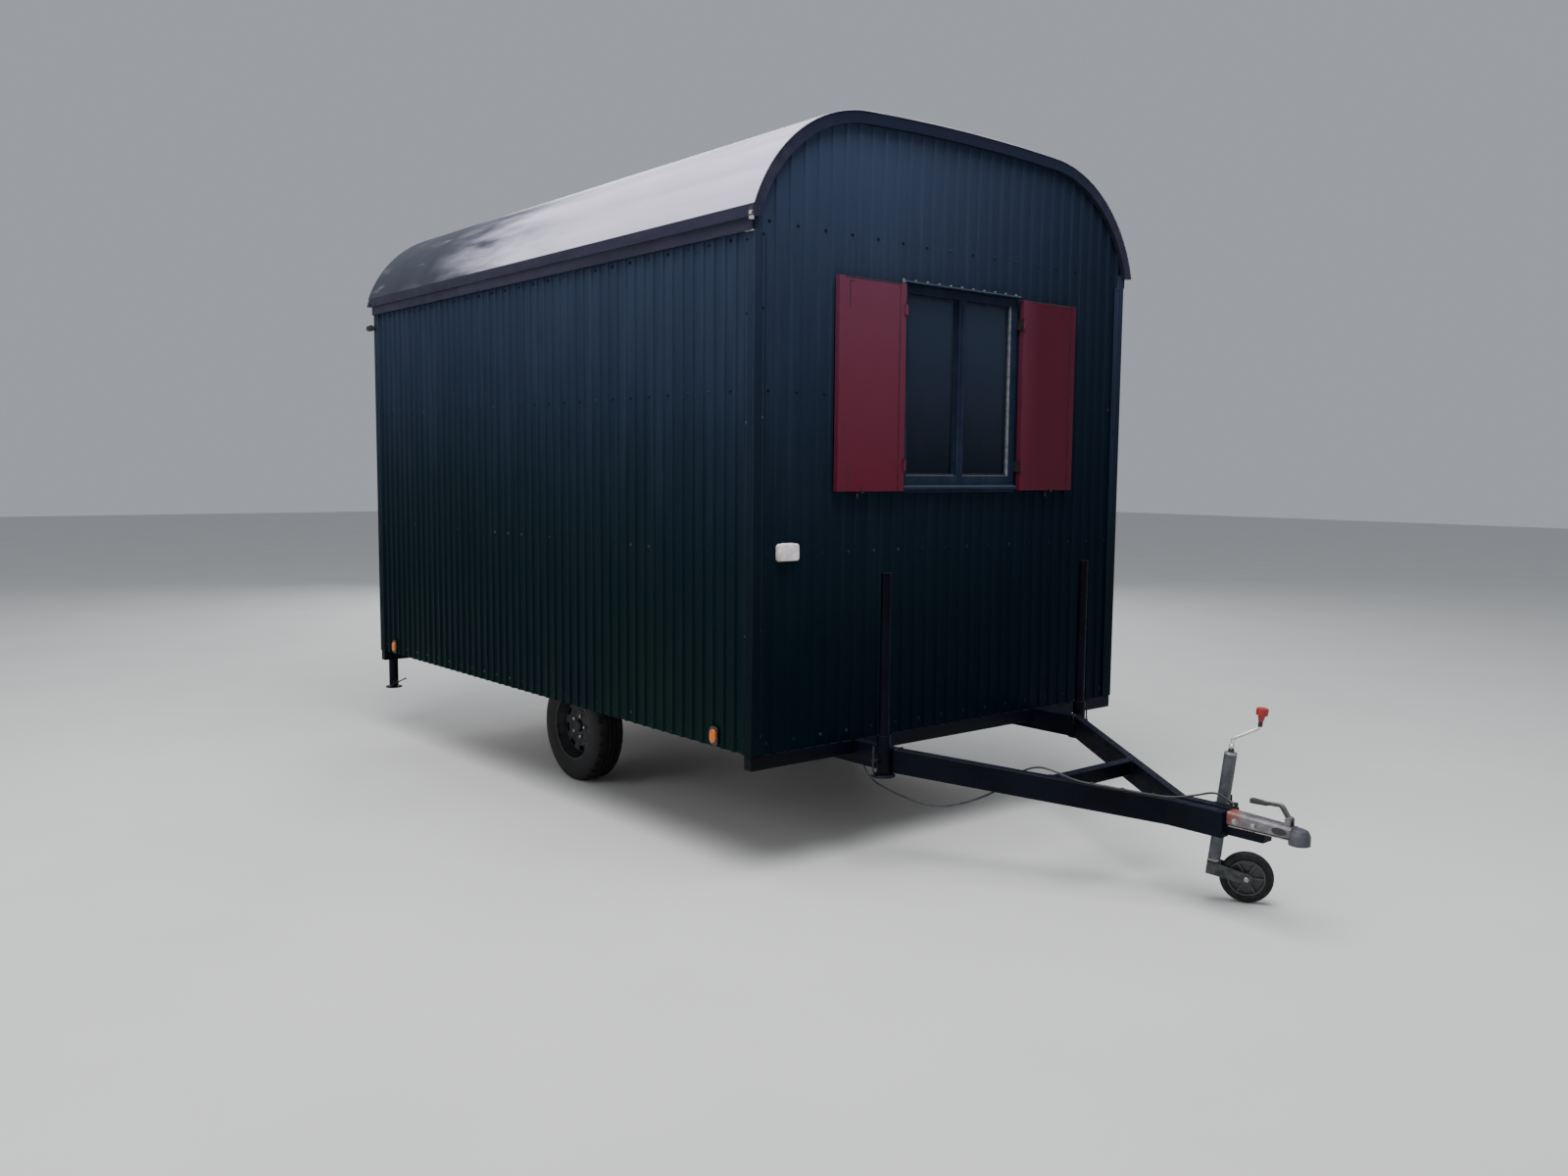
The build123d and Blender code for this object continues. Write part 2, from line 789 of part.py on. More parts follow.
# Axle: a beam under the rails, and at each end a trailing arm with the stub that carries the wheel
beam_x = axle_x + trailing_arm
beam_back = beam_x - axle_beam_size / 2
beam_front = beam_x + axle_beam_size / 2
arm_inner = wheel_inner - arm_gap - arm_thickness
arm_half = arm_end_size / 2
rail_bottom = deck_height - rail_height
beam_z = rail_bottom - axle_beam_size / 2
with BuildPart() as axle:
    with BuildSketch(Plane.XZ.offset(-arm_inner)):
        with Locations((beam_x, beam_z)):
            Rectangle(axle_beam_size, axle_beam_size)
    extrude(amount=2 * arm_inner)
    for side in (-1, 1):
        arm_plane = Plane.XZ.offset(-side * arm_inner)
        with BuildSketch(arm_plane):
            with BuildLine():
                Polyline(
                    (beam_back, rail_bottom),
                    (beam_front, rail_bottom),
                    (beam_front, rail_bottom - axle_beam_size),
                    (axle_x + arm_half, wheel_radius - arm_half),
                    (axle_x - arm_half, wheel_radius - arm_half),
                    (axle_x - arm_half, wheel_radius + arm_half),
                    close=True,
                )
            make_face()
        extrude(amount=-side * arm_thickness)
        with BuildSketch(arm_plane):
            with Locations((axle_x, wheel_radius)):
                Circle(stub_radius)
        extrude(amount=-side * (wheel_middle + hub_length / 4 - arm_inner))
write_piece(axle.part, "axle")


def wheel_plane(side, out):
    """A plane square to a wheel's axle, out from its middle towards the outside."""
    way = (0, side, 0)
    return Plane(
        origin=(axle_x, side * (wheel_middle + out), wheel_radius), x_dir=(1, 0, 0), z_dir=way
    )


def wheel_outline(radius, mode=Mode.ADD):
    """A round outline in flats, with one flat below that the wheel rests on."""
    turn = 180 / wheel_sides
    RegularPolygon(radius, wheel_sides, major_radius=False, rotation=turn, mode=mode)


def tyre(side):
    """A road tyre with sloping shoulders, around its rim."""
    with BuildPart() as ring:
        with BuildSketch(wheel_plane(side, -tyre_width / 2)):
            wheel_outline(wheel_radius)
        extrude(amount=tyre_width)
        sidewalls = ring.faces().sort_by(Axis.Y)
        chamfer(sidewalls[0].edges() + sidewalls[-1].edges(), tread_shoulder)
        with BuildSketch(wheel_plane(side, -tyre_width / 2)):
            wheel_outline(rim_radius)
        extrude(amount=tyre_width, mode=Mode.SUBTRACT)
    return ring.part


def rim(side):
    """A pressed steel rim: barrel, disc set towards the outside, and hub bored for the stub."""
    with BuildPart() as wheel:
        with BuildSketch(wheel_plane(side, -rim_width / 2)):
            wheel_outline(rim_radius)
            wheel_outline(rim_radius - rim_wall, Mode.SUBTRACT)
        extrude(amount=rim_width)
        with BuildSketch(wheel_plane(side, disc_offset - disc_thickness / 2)):
            wheel_outline(rim_radius - rim_wall)
        extrude(amount=disc_thickness)
        with BuildSketch(wheel_plane(side, -hub_length / 2)):
            Circle(hub_radius)
        extrude(amount=hub_length)
        with BuildSketch(wheel_plane(side, -hub_length / 2)):
            Circle(stub_radius + bearing_clearance)
        extrude(amount=hub_length, mode=Mode.SUBTRACT)
    return wheel.part


for side, name in ((-1, "right"), (1, "left")):
    write_piece(tyre(side), f"{name}_tyre")
    write_piece(rim(side), f"{name}_rim")

# Corner steadies: a sleeve on the chassis, the rear ones on a bracket behind the rear beam,
# and a leg with a foot plate that slides in each sleeve
rear_bracket_reach = rear_steady_setback - steady_sleeve_radius / 2
front_steady = (front_face + front_steady_reach, rail_outer + steady_sleeve_radius)
rear_steady = (rear_face - rear_steady_setback, half_width - rear_steady_inset)
screw_start = steady_sleeve_radius - clamp_screw_bite
bar_reach = screw_start + clamp_screw_length - clamp_bar_radius / 2


def steady_sleeve(x, y, top, bottom, screw_height, screw_way, bar_way):
    """A sleeve, with a clamp screw that points along screw_way and a T-bar along bar_way."""
    screw_middle = Vector(x, y, bottom + screw_height)
    with BuildPart() as sleeve:
        with BuildSketch(Plane.XY.offset(bottom)):
            with Locations((x, y)):
                Circle(steady_sleeve_radius)
                Circle(steady_tube_radius + steady_clearance, mode=Mode.SUBTRACT)
        extrude(amount=top - bottom)
        with BuildSketch(Plane(origin=screw_middle + screw_way * screw_start, z_dir=screw_way)):
            RegularPolygon(clamp_screw_radius, rod_sides)
        extrude(amount=clamp_screw_length)
        bar_end = screw_middle + screw_way * bar_reach - bar_way * clamp_bar_length / 2
        with BuildSketch(Plane(origin=bar_end, z_dir=bar_way)):
            RegularPolygon(clamp_bar_radius, rod_sides)
        extrude(amount=clamp_bar_length)
    return sleeve.part


with BuildPart() as front_steady_sleeves:
    for side in (-1, 1):
        add(
            steady_sleeve(
                front_steady[0],
                side * front_steady[1],
                front_sleeve_top,
                front_sleeve_bottom,
                front_screw_height,
                Vector(0, side, 0),
                Vector(0, 0, 1),
            )
        )
write_piece(front_steady_sleeves.part, "front_steady_sleeves")

rear_bar_way = Vector(0, sin(radians(rear_bar_lean)), cos(radians(rear_bar_lean)))
with BuildPart() as rear_steady_sleeves:
    for side in (-1, 1):
        add(
            steady_sleeve(
                rear_steady[0],
                side * rear_steady[1],
                rear_sleeve_top,
                rear_sleeve_bottom,
                rear_screw_height,
                Vector(1, 0, 0),
                rear_bar_way,
            )
        )
        with BuildSketch(Plane.XY.offset(deck_height - beam_height)):
            with Locations((rear_face - rear_bracket_reach / 2, side * rear_steady[1])):
                Rectangle(rear_bracket_reach, 2 * steady_sleeve_radius)
            with Locations((rear_steady[0], side * rear_steady[1])):
                Circle(steady_sleeve_radius - clamp_screw_bite, mode=Mode.SUBTRACT)
        extrude(amount=rear_sleeve_top - deck_height + beam_height)
write_piece(rear_steady_sleeves.part, "rear_steady_sleeves")


def steady_leg(place, side, bottom):
    """One leg: a tube with a round foot plate."""
    x, reach = place
    with BuildPart() as leg:
        with BuildSketch(Plane.XY.offset(bottom)):
            with Locations((x, side * reach)):
                Circle(steady_foot_radius)
        extrude(amount=steady_foot_thickness)
        with BuildSketch(Plane.XY.offset(bottom + steady_foot_thickness)):
            with Locations((x, side * reach)):
                Circle(steady_tube_radius)
        extrude(amount=steady_leg_length - steady_foot_thickness)
    return leg.part


front_foot = front_sleeve_bottom - steady_fit_gap - steady_foot_thickness
rear_foot = rear_sleeve_bottom - steady_fit_gap - steady_foot_thickness
for side, name in ((-1, "right"), (1, "left")):
    write_piece(steady_leg(front_steady, side, front_foot), f"front_{name}_steady")
    write_piece(steady_leg(rear_steady, side, rear_foot), f"rear_{name}_steady")

# Jockey wheel, drawn on its leaning tube: local Z runs up the tube
lean = radians(jockey_lean)
tube_way = Vector(sin(lean), 0, cos(lean))
heading = Vector(cos(radians(jockey_heading)), sin(radians(jockey_heading)), 0)
trail_way = (heading - tube_way * heading.dot(tube_way)).normalized()
axle_way = tube_way.cross(trail_way)
tube_point = Vector(front_face + jockey_reach, jockey_offset, jockey_clamp_height)
tilt = asin(abs(axle_way.Z))
tread_half = jockey_tyre_half - jockey_shoulder
hub_height = jockey_wheel_radius * cos(tilt) + tread_half * sin(tilt)
hub_along = (hub_height - jockey_clamp_height - trail_way.Z * jockey_trail) / tube_way.Z
hub_level = tube_point + tube_way * hub_along
hub_point = hub_level + trail_way * jockey_trail


def tube_plane(height):
    """A plane square to the jockey tube, where the tube's axis is at a height above the ground."""
    along = (height - jockey_clamp_height) / tube_way.Z
    return Plane(origin=tube_point + tube_way * along, x_dir=trail_way, z_dir=tube_way)


tube_length = (jockey_tube_top - jockey_tube_bottom) / cos(lean)
outer_lift = jockey_collar_lift + jockey_collar_length + jockey_collar_gap
with BuildPart() as jockey_outer_tube:
    with BuildSketch(tube_plane(jockey_tube_bottom + outer_lift)):
        Circle(jockey_outer_radius)
        Circle(jockey_inner_radius + joint_gap, mode=Mode.SUBTRACT)
    extrude(amount=tube_length - outer_lift)
    with BuildSketch(tube_plane(jockey_tube_top)):
        Circle(jockey_outer_radius)
        Circle(crank_rod_radius + joint_gap, mode=Mode.SUBTRACT)
    extrude(amount=jockey_cap_length)
write_piece(jockey_outer_tube.part, "jockey_outer_tube")

with BuildPart() as jockey_inner_tube:
    with BuildSketch(tube_plane(jockey_tube_bottom + jockey_collar_lift)):
        Circle(jockey_inner_radius)
    extrude(amount=tube_length / 2)
    with BuildSketch(tube_plane(jockey_tube_bottom + jockey_collar_lift)):
        Circle(jockey_outer_radius)
    extrude(amount=jockey_collar_length)
write_piece(jockey_inner_tube.part, "jockey_inner_tube")

# Fork: a cap that turns under the inner tube, and a cheek on each side of the wheel
cheek_inner = jockey_tyre_half + fork_side_gap
cheek_outer = cheek_inner + fork_thickness
fork_plane = Plane(origin=hub_point, x_dir=trail_way, z_dir=-axle_way)
collar_level = jockey_tube_bottom + jockey_collar_lift
cap_top = (collar_level - jockey_clamp_height) / tube_way.Z - hub_along - joint_gap
cap_back = -jockey_trail - jockey_outer_radius
cap_front = -jockey_trail + jockey_outer_radius
with BuildPart() as jockey_fork:
    with BuildSketch(fork_plane.offset(-cheek_outer)):
        with BuildLine():
            Polyline(
                (cap_back, cap_top),
                (cap_front, cap_top),
                (fork_end_size, fork_end_size),
                (fork_end_size, -fork_end_size),
                (-fork_end_size, -fork_end_size),
                (cap_back, cap_top - fork_depth),
                close=True,
            )
        make_face()
    extrude(amount=2 * cheek_outer)
    with BuildSketch(fork_plane.offset(-cheek_inner)):
        Circle(jockey_wheel_radius + fork_side_gap)
    extrude(amount=2 * cheek_inner, mode=Mode.SUBTRACT)
    with BuildSketch(fork_plane.offset(-cheek_outer)):
        Circle(jockey_axle_radius)
    extrude(amount=2 * cheek_outer)
write_piece(jockey_fork.part, "jockey_fork")

# Jockey wheel: a solid rubber tyre in flats, one of them below, on a web with a hub
spin_plane = Plane(origin=hub_point, x_dir=trail_way, z_dir=axle_way)
jockey_turn = degrees(atan2(tube_way.Z, -trail_way.Z)) + 180 / jockey_sides


def jockey_outline(radius):
    """A round outline in flats, with one flat below that the wheel rests on."""
    RegularPolygon(radius, jockey_sides, major_radius=False, rotation=jockey_turn)


with BuildPart() as jockey_tyre:
    with BuildSketch(spin_plane.offset(-jockey_tyre_half)):
        jockey_outline(jockey_wheel_radius)
    extrude(amount=2 * jockey_tyre_half)
    flanks = jockey_tyre.faces().sort_by(Axis(hub_point, axle_way))
    chamfer(flanks[0].edges() + flanks[-1].edges(), jockey_shoulder)
    with BuildSketch(spin_plane.offset(-jockey_tyre_half)):
        jockey_outline(jockey_seat_radius)
    extrude(amount=2 * jockey_tyre_half, mode=Mode.SUBTRACT)
write_piece(jockey_tyre.part, "jockey_tyre")

with BuildPart() as jockey_rim:
    with BuildSketch(spin_plane.offset(-jockey_web_thickness / 2)):
        jockey_outline(jockey_seat_radius)
    extrude(amount=jockey_web_thickness)
    with BuildSketch(spin_plane.offset(-jockey_tyre_half)):
        Circle(jockey_hub_radius)
    extrude(amount=2 * jockey_tyre_half)
    with BuildSketch(spin_plane.offset(-jockey_tyre_half)):
        Circle(jockey_axle_radius + bearing_clearance)
    extrude(amount=2 * jockey_tyre_half, mode=Mode.SUBTRACT)
write_piece(jockey_rim.part, "jockey_rim")

# Crank on top: a rod bent twice, with a conical knob
crank_plane = Plane(origin=tube_plane(jockey_tube_top).origin, x_dir=trail_way, z_dir=-axle_way)
grip_foot = crank_foot + crank_rise
with BuildPart() as jockey_crank:
    with BuildLine(crank_plane) as crank_line:
        FilletPolyline(
            (0, -crank_foot),
            (0, crank_foot),
            (crank_reach, grip_foot),
            (crank_reach, grip_foot + crank_grip),
            radius=crank_bend,
        )
    with BuildSketch(Plane(origin=crank_line.line @ 0, z_dir=crank_line.line % 0)):
        RegularPolygon(crank_rod_radius, rod_sides)
    sweep()
write_piece(jockey_crank.part, "jockey_crank")

knob_origin = tube_plane(jockey_tube_top).origin + trail_way * crank_reach
knob_plane = Plane(origin=knob_origin, x_dir=trail_way, z_dir=-axle_way)
with BuildPart() as crank_knob:
    with BuildSketch(knob_plane):
        with BuildLine():
            Polyline(
                (0, grip_foot + crank_grip),
                (knob_foot_radius, grip_foot + crank_grip),
                (knob_radius, grip_foot + knob_height - knob_foot_radius),
                (knob_radius, grip_foot + knob_height),
                (0, grip_foot + knob_height),
                close=True,
            )
        make_face()
    revolve(axis=Axis(knob_origin, tube_way))
write_piece(crank_knob.part, "crank_knob")

# Jockey clamp: a ring around the tube, on a plate against the left leg of the nose
nose_side = nose_middle + rail_width / 2
clamp_low = tube_plane(jockey_clamp_height - jockey_clamp_length / 2)
clamp_plane = Plane(origin=clamp_low.origin, x_dir=(0, 1, 0), z_dir=tube_way)
plate_reach = jockey_offset - nose_side
clamp_side = jockey_offset + jockey_clamp_radius - clamp_screw_bite
with BuildPart() as jockey_clamp:
    with BuildSketch(clamp_plane):
        Circle(jockey_clamp_radius)
        with Locations((-plate_reach / 2, 0)):
            Rectangle(plate_reach, 2 * jockey_clamp_radius)
        Circle(jockey_outer_radius + joint_gap, mode=Mode.SUBTRACT)
    extrude(amount=jockey_clamp_length)
    with BuildSketch(side_plane(clamp_side, 1)):
        with Locations((-tube_point.X, jockey_clamp_height)):
            RegularPolygon(clamp_screw_radius, rod_sides)
    extrude(amount=jockey_screw_length)
    with BuildSketch(Plane.XY.offset(jockey_clamp_height - jockey_bar_length / 2)):
        with Locations((tube_point.X, clamp_side + jockey_screw_length - clamp_bar_radius)):
            RegularPolygon(clamp_bar_radius, rod_sides)
    extrude(amount=jockey_bar_length)
write_piece(jockey_clamp.part, "jockey_clamp")

# Coupling: a pressed shank that ends in a domed socket for the ball, open below
ball_x = front_face + ball_reach
shank_bottom = mount_bottom + mount_height
shank_end = ball_x - socket_radius / 2
lever_pivot_x = front_face + lever_pivot_reach
ball_plane = Plane(origin=(ball_x, 0, ball_height), x_dir=(1, 0, 0), z_dir=(0, -1, 0))
ball_axis = Axis((ball_x, 0, 0), (0, 0, 1))
ear_inner = lever_width / 2 + joint_gap
with BuildPart() as coupling_body:
    for x, height in ((nose_x, nose_top - shank_bottom), (shank_end, shank_height)):
        with BuildSketch(gable_plane(x)) as shank_section:
            with Locations((0, shank_bottom + height / 2)):
                Rectangle(coupling_width, height)
            chamfer(shank_section.vertices(), coupling_corner)
    loft(ruled=True)
    with BuildSketch(ball_plane):
        with BuildLine():
            Polyline(
                (0, -socket_depth),
                (socket_radius, -socket_depth),
                (socket_radius, dome_height / 4),
                (socket_radius * cos(radians(40)), dome_height * sin(radians(50))),
                (socket_radius / 4, dome_height),
                (0, dome_height),
                close=True,
            )
        make_face()
    revolve(axis=ball_axis)
    with BuildSketch(ball_plane):
        with BuildLine():
            Polyline(
                (0, -socket_depth),
                (ball_bore_radius, -socket_depth),
                (ball_bore_radius, 0),
                (ball_bore_radius / 2, socket_crown),
                (0, socket_crown),
                close=True,
            )
        make_face()
    revolve(axis=ball_axis, mode=Mode.SUBTRACT)
    for side in (-1, 1):
        with BuildSketch(Plane.XZ.offset(-side * ear_inner)):
            with Locations((lever_pivot_x, lever_pivot_height)):
                Circle(ear_radius)
            with Locations((lever_pivot_x, lever_pivot_height - 2 * ear_radius)):
                Rectangle(2 * ear_radius, 4 * ear_radius)
        extrude(amount=-side * ear_thickness)
    with BuildSketch(Plane.XZ.offset(-ear_inner)):
        with Locations((lever_pivot_x, lever_pivot_height)):
            Circle(pivot_radius)
    extrude(amount=2 * ear_inner)
write_piece(coupling_body.part, "coupling_body")

# Coupling lever: a bent handle that lifts on its pivot pin
handle_top = lever_pivot_height + lever_rise
handle_start = lever_pivot_x - lever_lean
with BuildPart() as coupling_lever:
    with BuildSketch(Plane.XZ.offset(-lever_width / 2)):
        with BuildLine():
            FilletPolyline(
                (lever_pivot_x, lever_pivot_height),
                (handle_start, handle_top),
                (handle_start - lever_length, handle_top - lever_thickness / 2),
                radius=lever_bend,
            )
            offset(amount=lever_thickness / 2, side=Side.BOTH)
        make_face()
        with Locations((lever_pivot_x, lever_pivot_height)):
            Circle(pivot_radius * 2)
            Circle(pivot_radius + hinge_pin_clearance, mode=Mode.SUBTRACT)
    extrude(amount=lever_width)
write_piece(coupling_lever.part, "coupling_lever")

# White cover box on the front wall, low on the right-hand side
with BuildPart() as inlet_cover:
    with BuildSketch(gable_plane(front_face)) as cover_outline:
        with Locations((-half_width + inlet_offset, inlet_centre_height)):
            Rectangle(inlet_width, inlet_height)
        chamfer(cover_outline.vertices(), small_corner)
    extrude(amount=inlet_depth, taper=inlet_slope)
write_piece(inlet_cover.part, "inlet_cover")

# Amber side markers, low on the long sides
marker_middle = deck_height + marker_lift + marker_height / 2
marker_places = (front_face - marker_front_setback, rear_face + marker_rear_setback)
with BuildPart() as side_markers:
    for side in (-1, 1):
        with BuildSketch(side_plane(side * half_width, side)) as marker_outline:
            for marker_x in marker_places:
                with Locations((-side * marker_x, marker_middle)):
                    Rectangle(marker_width, marker_height)
            chamfer(marker_outline.vertices(), 2 * small_corner)
        extrude(amount=marker_depth)
write_piece(side_markers.part, "side_markers")

# Rear marker lamps: one on a short arm at each rear corner, high up
lamp_x = rear_face + lamp_setback
lamp_start = half_width + corner_trim_thickness
lamp_reach = lamp_start + lamp_arm - lamp_radius
with BuildPart() as rear_marker_lamps:
    for side in (-1, 1):
        with BuildSketch(side_plane(side * lamp_start, side)):
            with Locations((-side * lamp_x, lamp_height_above_ground)):
                RegularPolygon(lamp_arm_radius, rod_sides)
        extrude(amount=lamp_reach - lamp_start)
        with BuildSketch(gable_plane(lamp_x - lamp_length / 2)):
            with Locations((side * lamp_reach, lamp_height_above_ground)):
                Circle(lamp_radius)
        extrude(amount=lamp_length)
write_piece(rear_marker_lamps.part, "rear_marker_lamps")

# Door handle, on the outside of the leaf
handle_y = door_width / 2 - handle_inset
handle_height = floor_top + door_handle_height
handle_back = rear_outer - handle_reach
bar_middle = handle_y - handle_length / 2 + handle_stem_radius
with BuildPart() as door_handle:
    with BuildSketch(gable_plane(rear_outer - handle_plate_thickness)) as back_plate:
        with Locations((handle_y, handle_height)):
            Rectangle(handle_plate_width, handle_plate_height)
        chamfer(back_plate.vertices(), small_corner)
    extrude(amount=handle_plate_thickness)
    with BuildSketch(gable_plane(handle_back)):
        with Locations((handle_y, handle_height)):
            Circle(handle_stem_radius)
    extrude(amount=handle_reach - handle_plate_thickness / 2)
    with BuildSketch(gable_plane(handle_back)) as handle_bar:
        with Locations((bar_middle, handle_height)):
            Rectangle(handle_length, handle_bar_height)
        chamfer(handle_bar.vertices(), small_corner / 2)
    extrude(amount=handle_bar_depth)
write_piece(door_handle.part, "door_handle")

# Cable: from a gland under the front beam it hangs in a loop behind the right leg, passes over
# the leg, lies along its outer edge and ends in a gland on the nose
cable_radius = cable_diameter / 2
cable_lift = cable_radius + joint_gap
gland_drop = beam_height + gland_height / 2


def under_rail(reach, inset, drop):
    """A point under the hut: past its front face, in from the right rail's outer face."""
    return (front_face + reach, inset - rail_outer, deck_height - drop)


def over_leg(share, inset, lift):
    """A point at a share of the right leg: in from its outer face, and lifted over its top."""
    reach = rail_outer + share * (nose_middle - rail_spacing / 2)
    top = deck_height - share * drawbar_drop
    return (rail_front + share * (meet_x - rail_front), inset - reach, top + lift)


def over_nose(reach, y, lift):
    """A point past the bend of the legs, and lifted over the top of the nose."""
    return (meet_x + reach, y, nose_top + lift)


cable_route = [
    under_rail(-25, 75, gland_drop),
    under_rail(-25, 75, gland_drop + 50),
    under_rail(40, 66, gland_drop + 105),
    under_rail(130, 63, gland_drop + 127),
    under_rail(235, 77, gland_drop + 148),
    over_leg(0.108, 47, -224),
    over_leg(0.218, 24, -195),
    over_leg(0.307, 25, -148),
    over_leg(0.360, rail_width + 5, -109),
    over_leg(0.403, rail_width + 16, -48),
    over_leg(0.457, rail_width + 21, 0),
    over_leg(0.532, 32, 30),
    over_leg(0.605, 5, 28),
    over_leg(0.678, 6, cable_lift),
    over_leg(0.785, 8, cable_lift),
    over_leg(0.892, 7, cable_lift),
    over_leg(0.996, 12, cable_lift),
    over_nose(71, -4, 20),
    over_nose(137, 38, 43),
    over_nose(177, 46, 26),
    over_nose(210, 50, gland_height / 2),
]


def bend_radii(points):
    """The bend at each inner point, as wide as 0.45 of its shorter run allows."""
    radii = []
    for before, corner, after in zip(points, points[1:], points[2:]):
        arriving = Vector(*corner) - Vector(*before)
        leaving = Vector(*after) - Vector(*corner)
        half_turn = radians(arriving.get_angle(leaving)) / 2
        radii.append(0.45 * min(arriving.length, leaving.length) / tan(half_turn))
    return radii


cable_bends = bend_radii(cable_route)
with BuildPart() as cable:
    with BuildLine() as cable_line:
        FilletPolyline(*cable_route, radius=cable_bends)
    with BuildSketch(Plane(origin=cable_line.line @ 0, z_dir=cable_line.line % 0)):
        RegularPolygon(cable_radius, rod_sides)
    sweep()
write_piece(cable.part, "cable")
cable_length = sum(edge.length for edge in cable_line.edges())
print("cable length", round(cable_length), "tightest bend", round(min(cable_bends)))

# Cable clips and glands: clips that are open below, screwed to the leg, and a gland at each end
top_normal = Vector(drawbar_drop, 0, meet_x - rail_front).normalized()
first_clip = 13
last_clip = 16
with BuildPart() as cable_clips:
    for place in range(first_clip, last_clip):
        start = Vector(*cable_route[place])
        end = Vector(*cable_route[place + 1])
        way = (end - start).normalized()
        with BuildSketch(Plane(origin=(start + end) / 2, x_dir=top_normal.cross(way), z_dir=way)):
            RegularPolygon(cable_lift + clip_wall, rod_sides)
            with Locations((clip_foot / 2, clip_wall / 2 - cable_radius)):
                Rectangle(clip_foot, clip_wall)
            with Locations((0, -cable_radius - clip_wall)):
                Rectangle(2 * clip_foot, 2 * clip_wall, mode=Mode.SUBTRACT)
            RegularPolygon(cable_lift, rod_sides, major_radius=False, mode=Mode.SUBTRACT)
        extrude(amount=clip_width / 2, both=True)
    gland_x = cable_route[-1][0] + gland_radius + cable_radius / 2
    with BuildSketch(Plane.XY.offset(nose_top)):
        with Locations((gland_x, cable_route[-1][1])):
            RegularPolygon(gland_radius, rod_sides)
    extrude(amount=gland_height)
    with BuildSketch(Plane.XY.offset(deck_height - gland_drop)):
        with Locations(cable_route[0][:2]):
            RegularPolygon(gland_radius, rod_sides)
    extrude(amount=gland_height / 2)
write_piece(cable_clips.part, "cable_clips")
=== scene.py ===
"""A shepherd's hut on its two-wheeled chassis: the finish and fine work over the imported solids.

Metres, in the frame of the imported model: +X runs forward along the drawbar, +Y to the hut's left
and +Z up, from the ground under the middle of the whole.
"""
import json
from math import atan2, cos, pi, radians, sin

import bmesh
import bpy
from mathutils import Matrix, Vector

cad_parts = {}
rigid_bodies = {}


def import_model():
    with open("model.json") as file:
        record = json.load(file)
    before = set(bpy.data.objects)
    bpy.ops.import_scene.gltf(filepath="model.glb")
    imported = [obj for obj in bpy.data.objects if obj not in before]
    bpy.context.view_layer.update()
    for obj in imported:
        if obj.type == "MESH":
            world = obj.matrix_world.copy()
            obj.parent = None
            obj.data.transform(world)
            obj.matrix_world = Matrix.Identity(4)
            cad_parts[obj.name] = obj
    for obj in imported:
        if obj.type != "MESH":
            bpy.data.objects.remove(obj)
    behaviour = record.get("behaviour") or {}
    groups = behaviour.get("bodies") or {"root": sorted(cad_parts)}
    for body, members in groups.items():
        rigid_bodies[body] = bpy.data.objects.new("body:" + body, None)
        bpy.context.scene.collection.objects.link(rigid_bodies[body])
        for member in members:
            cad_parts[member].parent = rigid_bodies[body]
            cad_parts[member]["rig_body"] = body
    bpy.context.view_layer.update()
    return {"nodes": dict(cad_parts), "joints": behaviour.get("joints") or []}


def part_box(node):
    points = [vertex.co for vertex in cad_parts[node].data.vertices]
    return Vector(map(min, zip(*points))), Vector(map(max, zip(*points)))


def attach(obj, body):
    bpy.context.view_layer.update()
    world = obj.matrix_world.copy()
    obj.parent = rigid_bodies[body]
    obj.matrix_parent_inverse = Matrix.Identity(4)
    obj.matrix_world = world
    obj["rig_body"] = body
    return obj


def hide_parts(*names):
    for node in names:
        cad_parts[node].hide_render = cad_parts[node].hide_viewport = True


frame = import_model()


# Camera: a phone held at eye height in front of the near front corner of the hut, a little
# tilted down, with a wide lens.
def added(name, data):
    """A new object in the scene that shows the data."""
    thing = bpy.data.objects.new(name, data)
    bpy.context.collection.objects.link(thing)
    return thing


camera_data = bpy.data.cameras.new("eye_height_camera")
camera_data.sensor_width = 36
camera_data.lens = 29.13
camera_data.clip_end = 200
camera = added("eye_height_camera", camera_data)
heading = Matrix.Rotation(radians(140.403 - 90), 4, "Z")
pitch = Matrix.Rotation(radians(90 - 5.343), 4, "X")
roll = Matrix.Rotation(radians(0.484), 4, "Z")
camera.matrix_world = Matrix.Translation((4.9603, -4.2296, 1.6402)) @ heading @ pitch @ roll
bpy.context.scene.camera = camera


# Cable: a rubber-sheathed lead. It leaves a gland under the front beam, hangs in a loop behind the
# right leg of the drawbar, crosses over it, and is clipped along its top to a gland on the nose.
def new_finish(name, colour, roughness, metallic=0.0, specular=0.5):
    """A finish with its shader, and the Object coordinates that its patterns read."""
    finish = bpy.data.materials.new(name)
    finish.use_nodes = True
    shader = finish.node_tree.nodes["Principled BSDF"]
    shader.inputs["Base Color"].default_value = (*colour, 1)
    shader.inputs["Roughness"].default_value = roughness
    shader.inputs["Metallic"].default_value = metallic
    shader.inputs["Specular IOR Level"].default_value = specular
    place = finish.node_tree.nodes.new("ShaderNodeTexCoord").outputs["Object"]
    return finish, shader, place


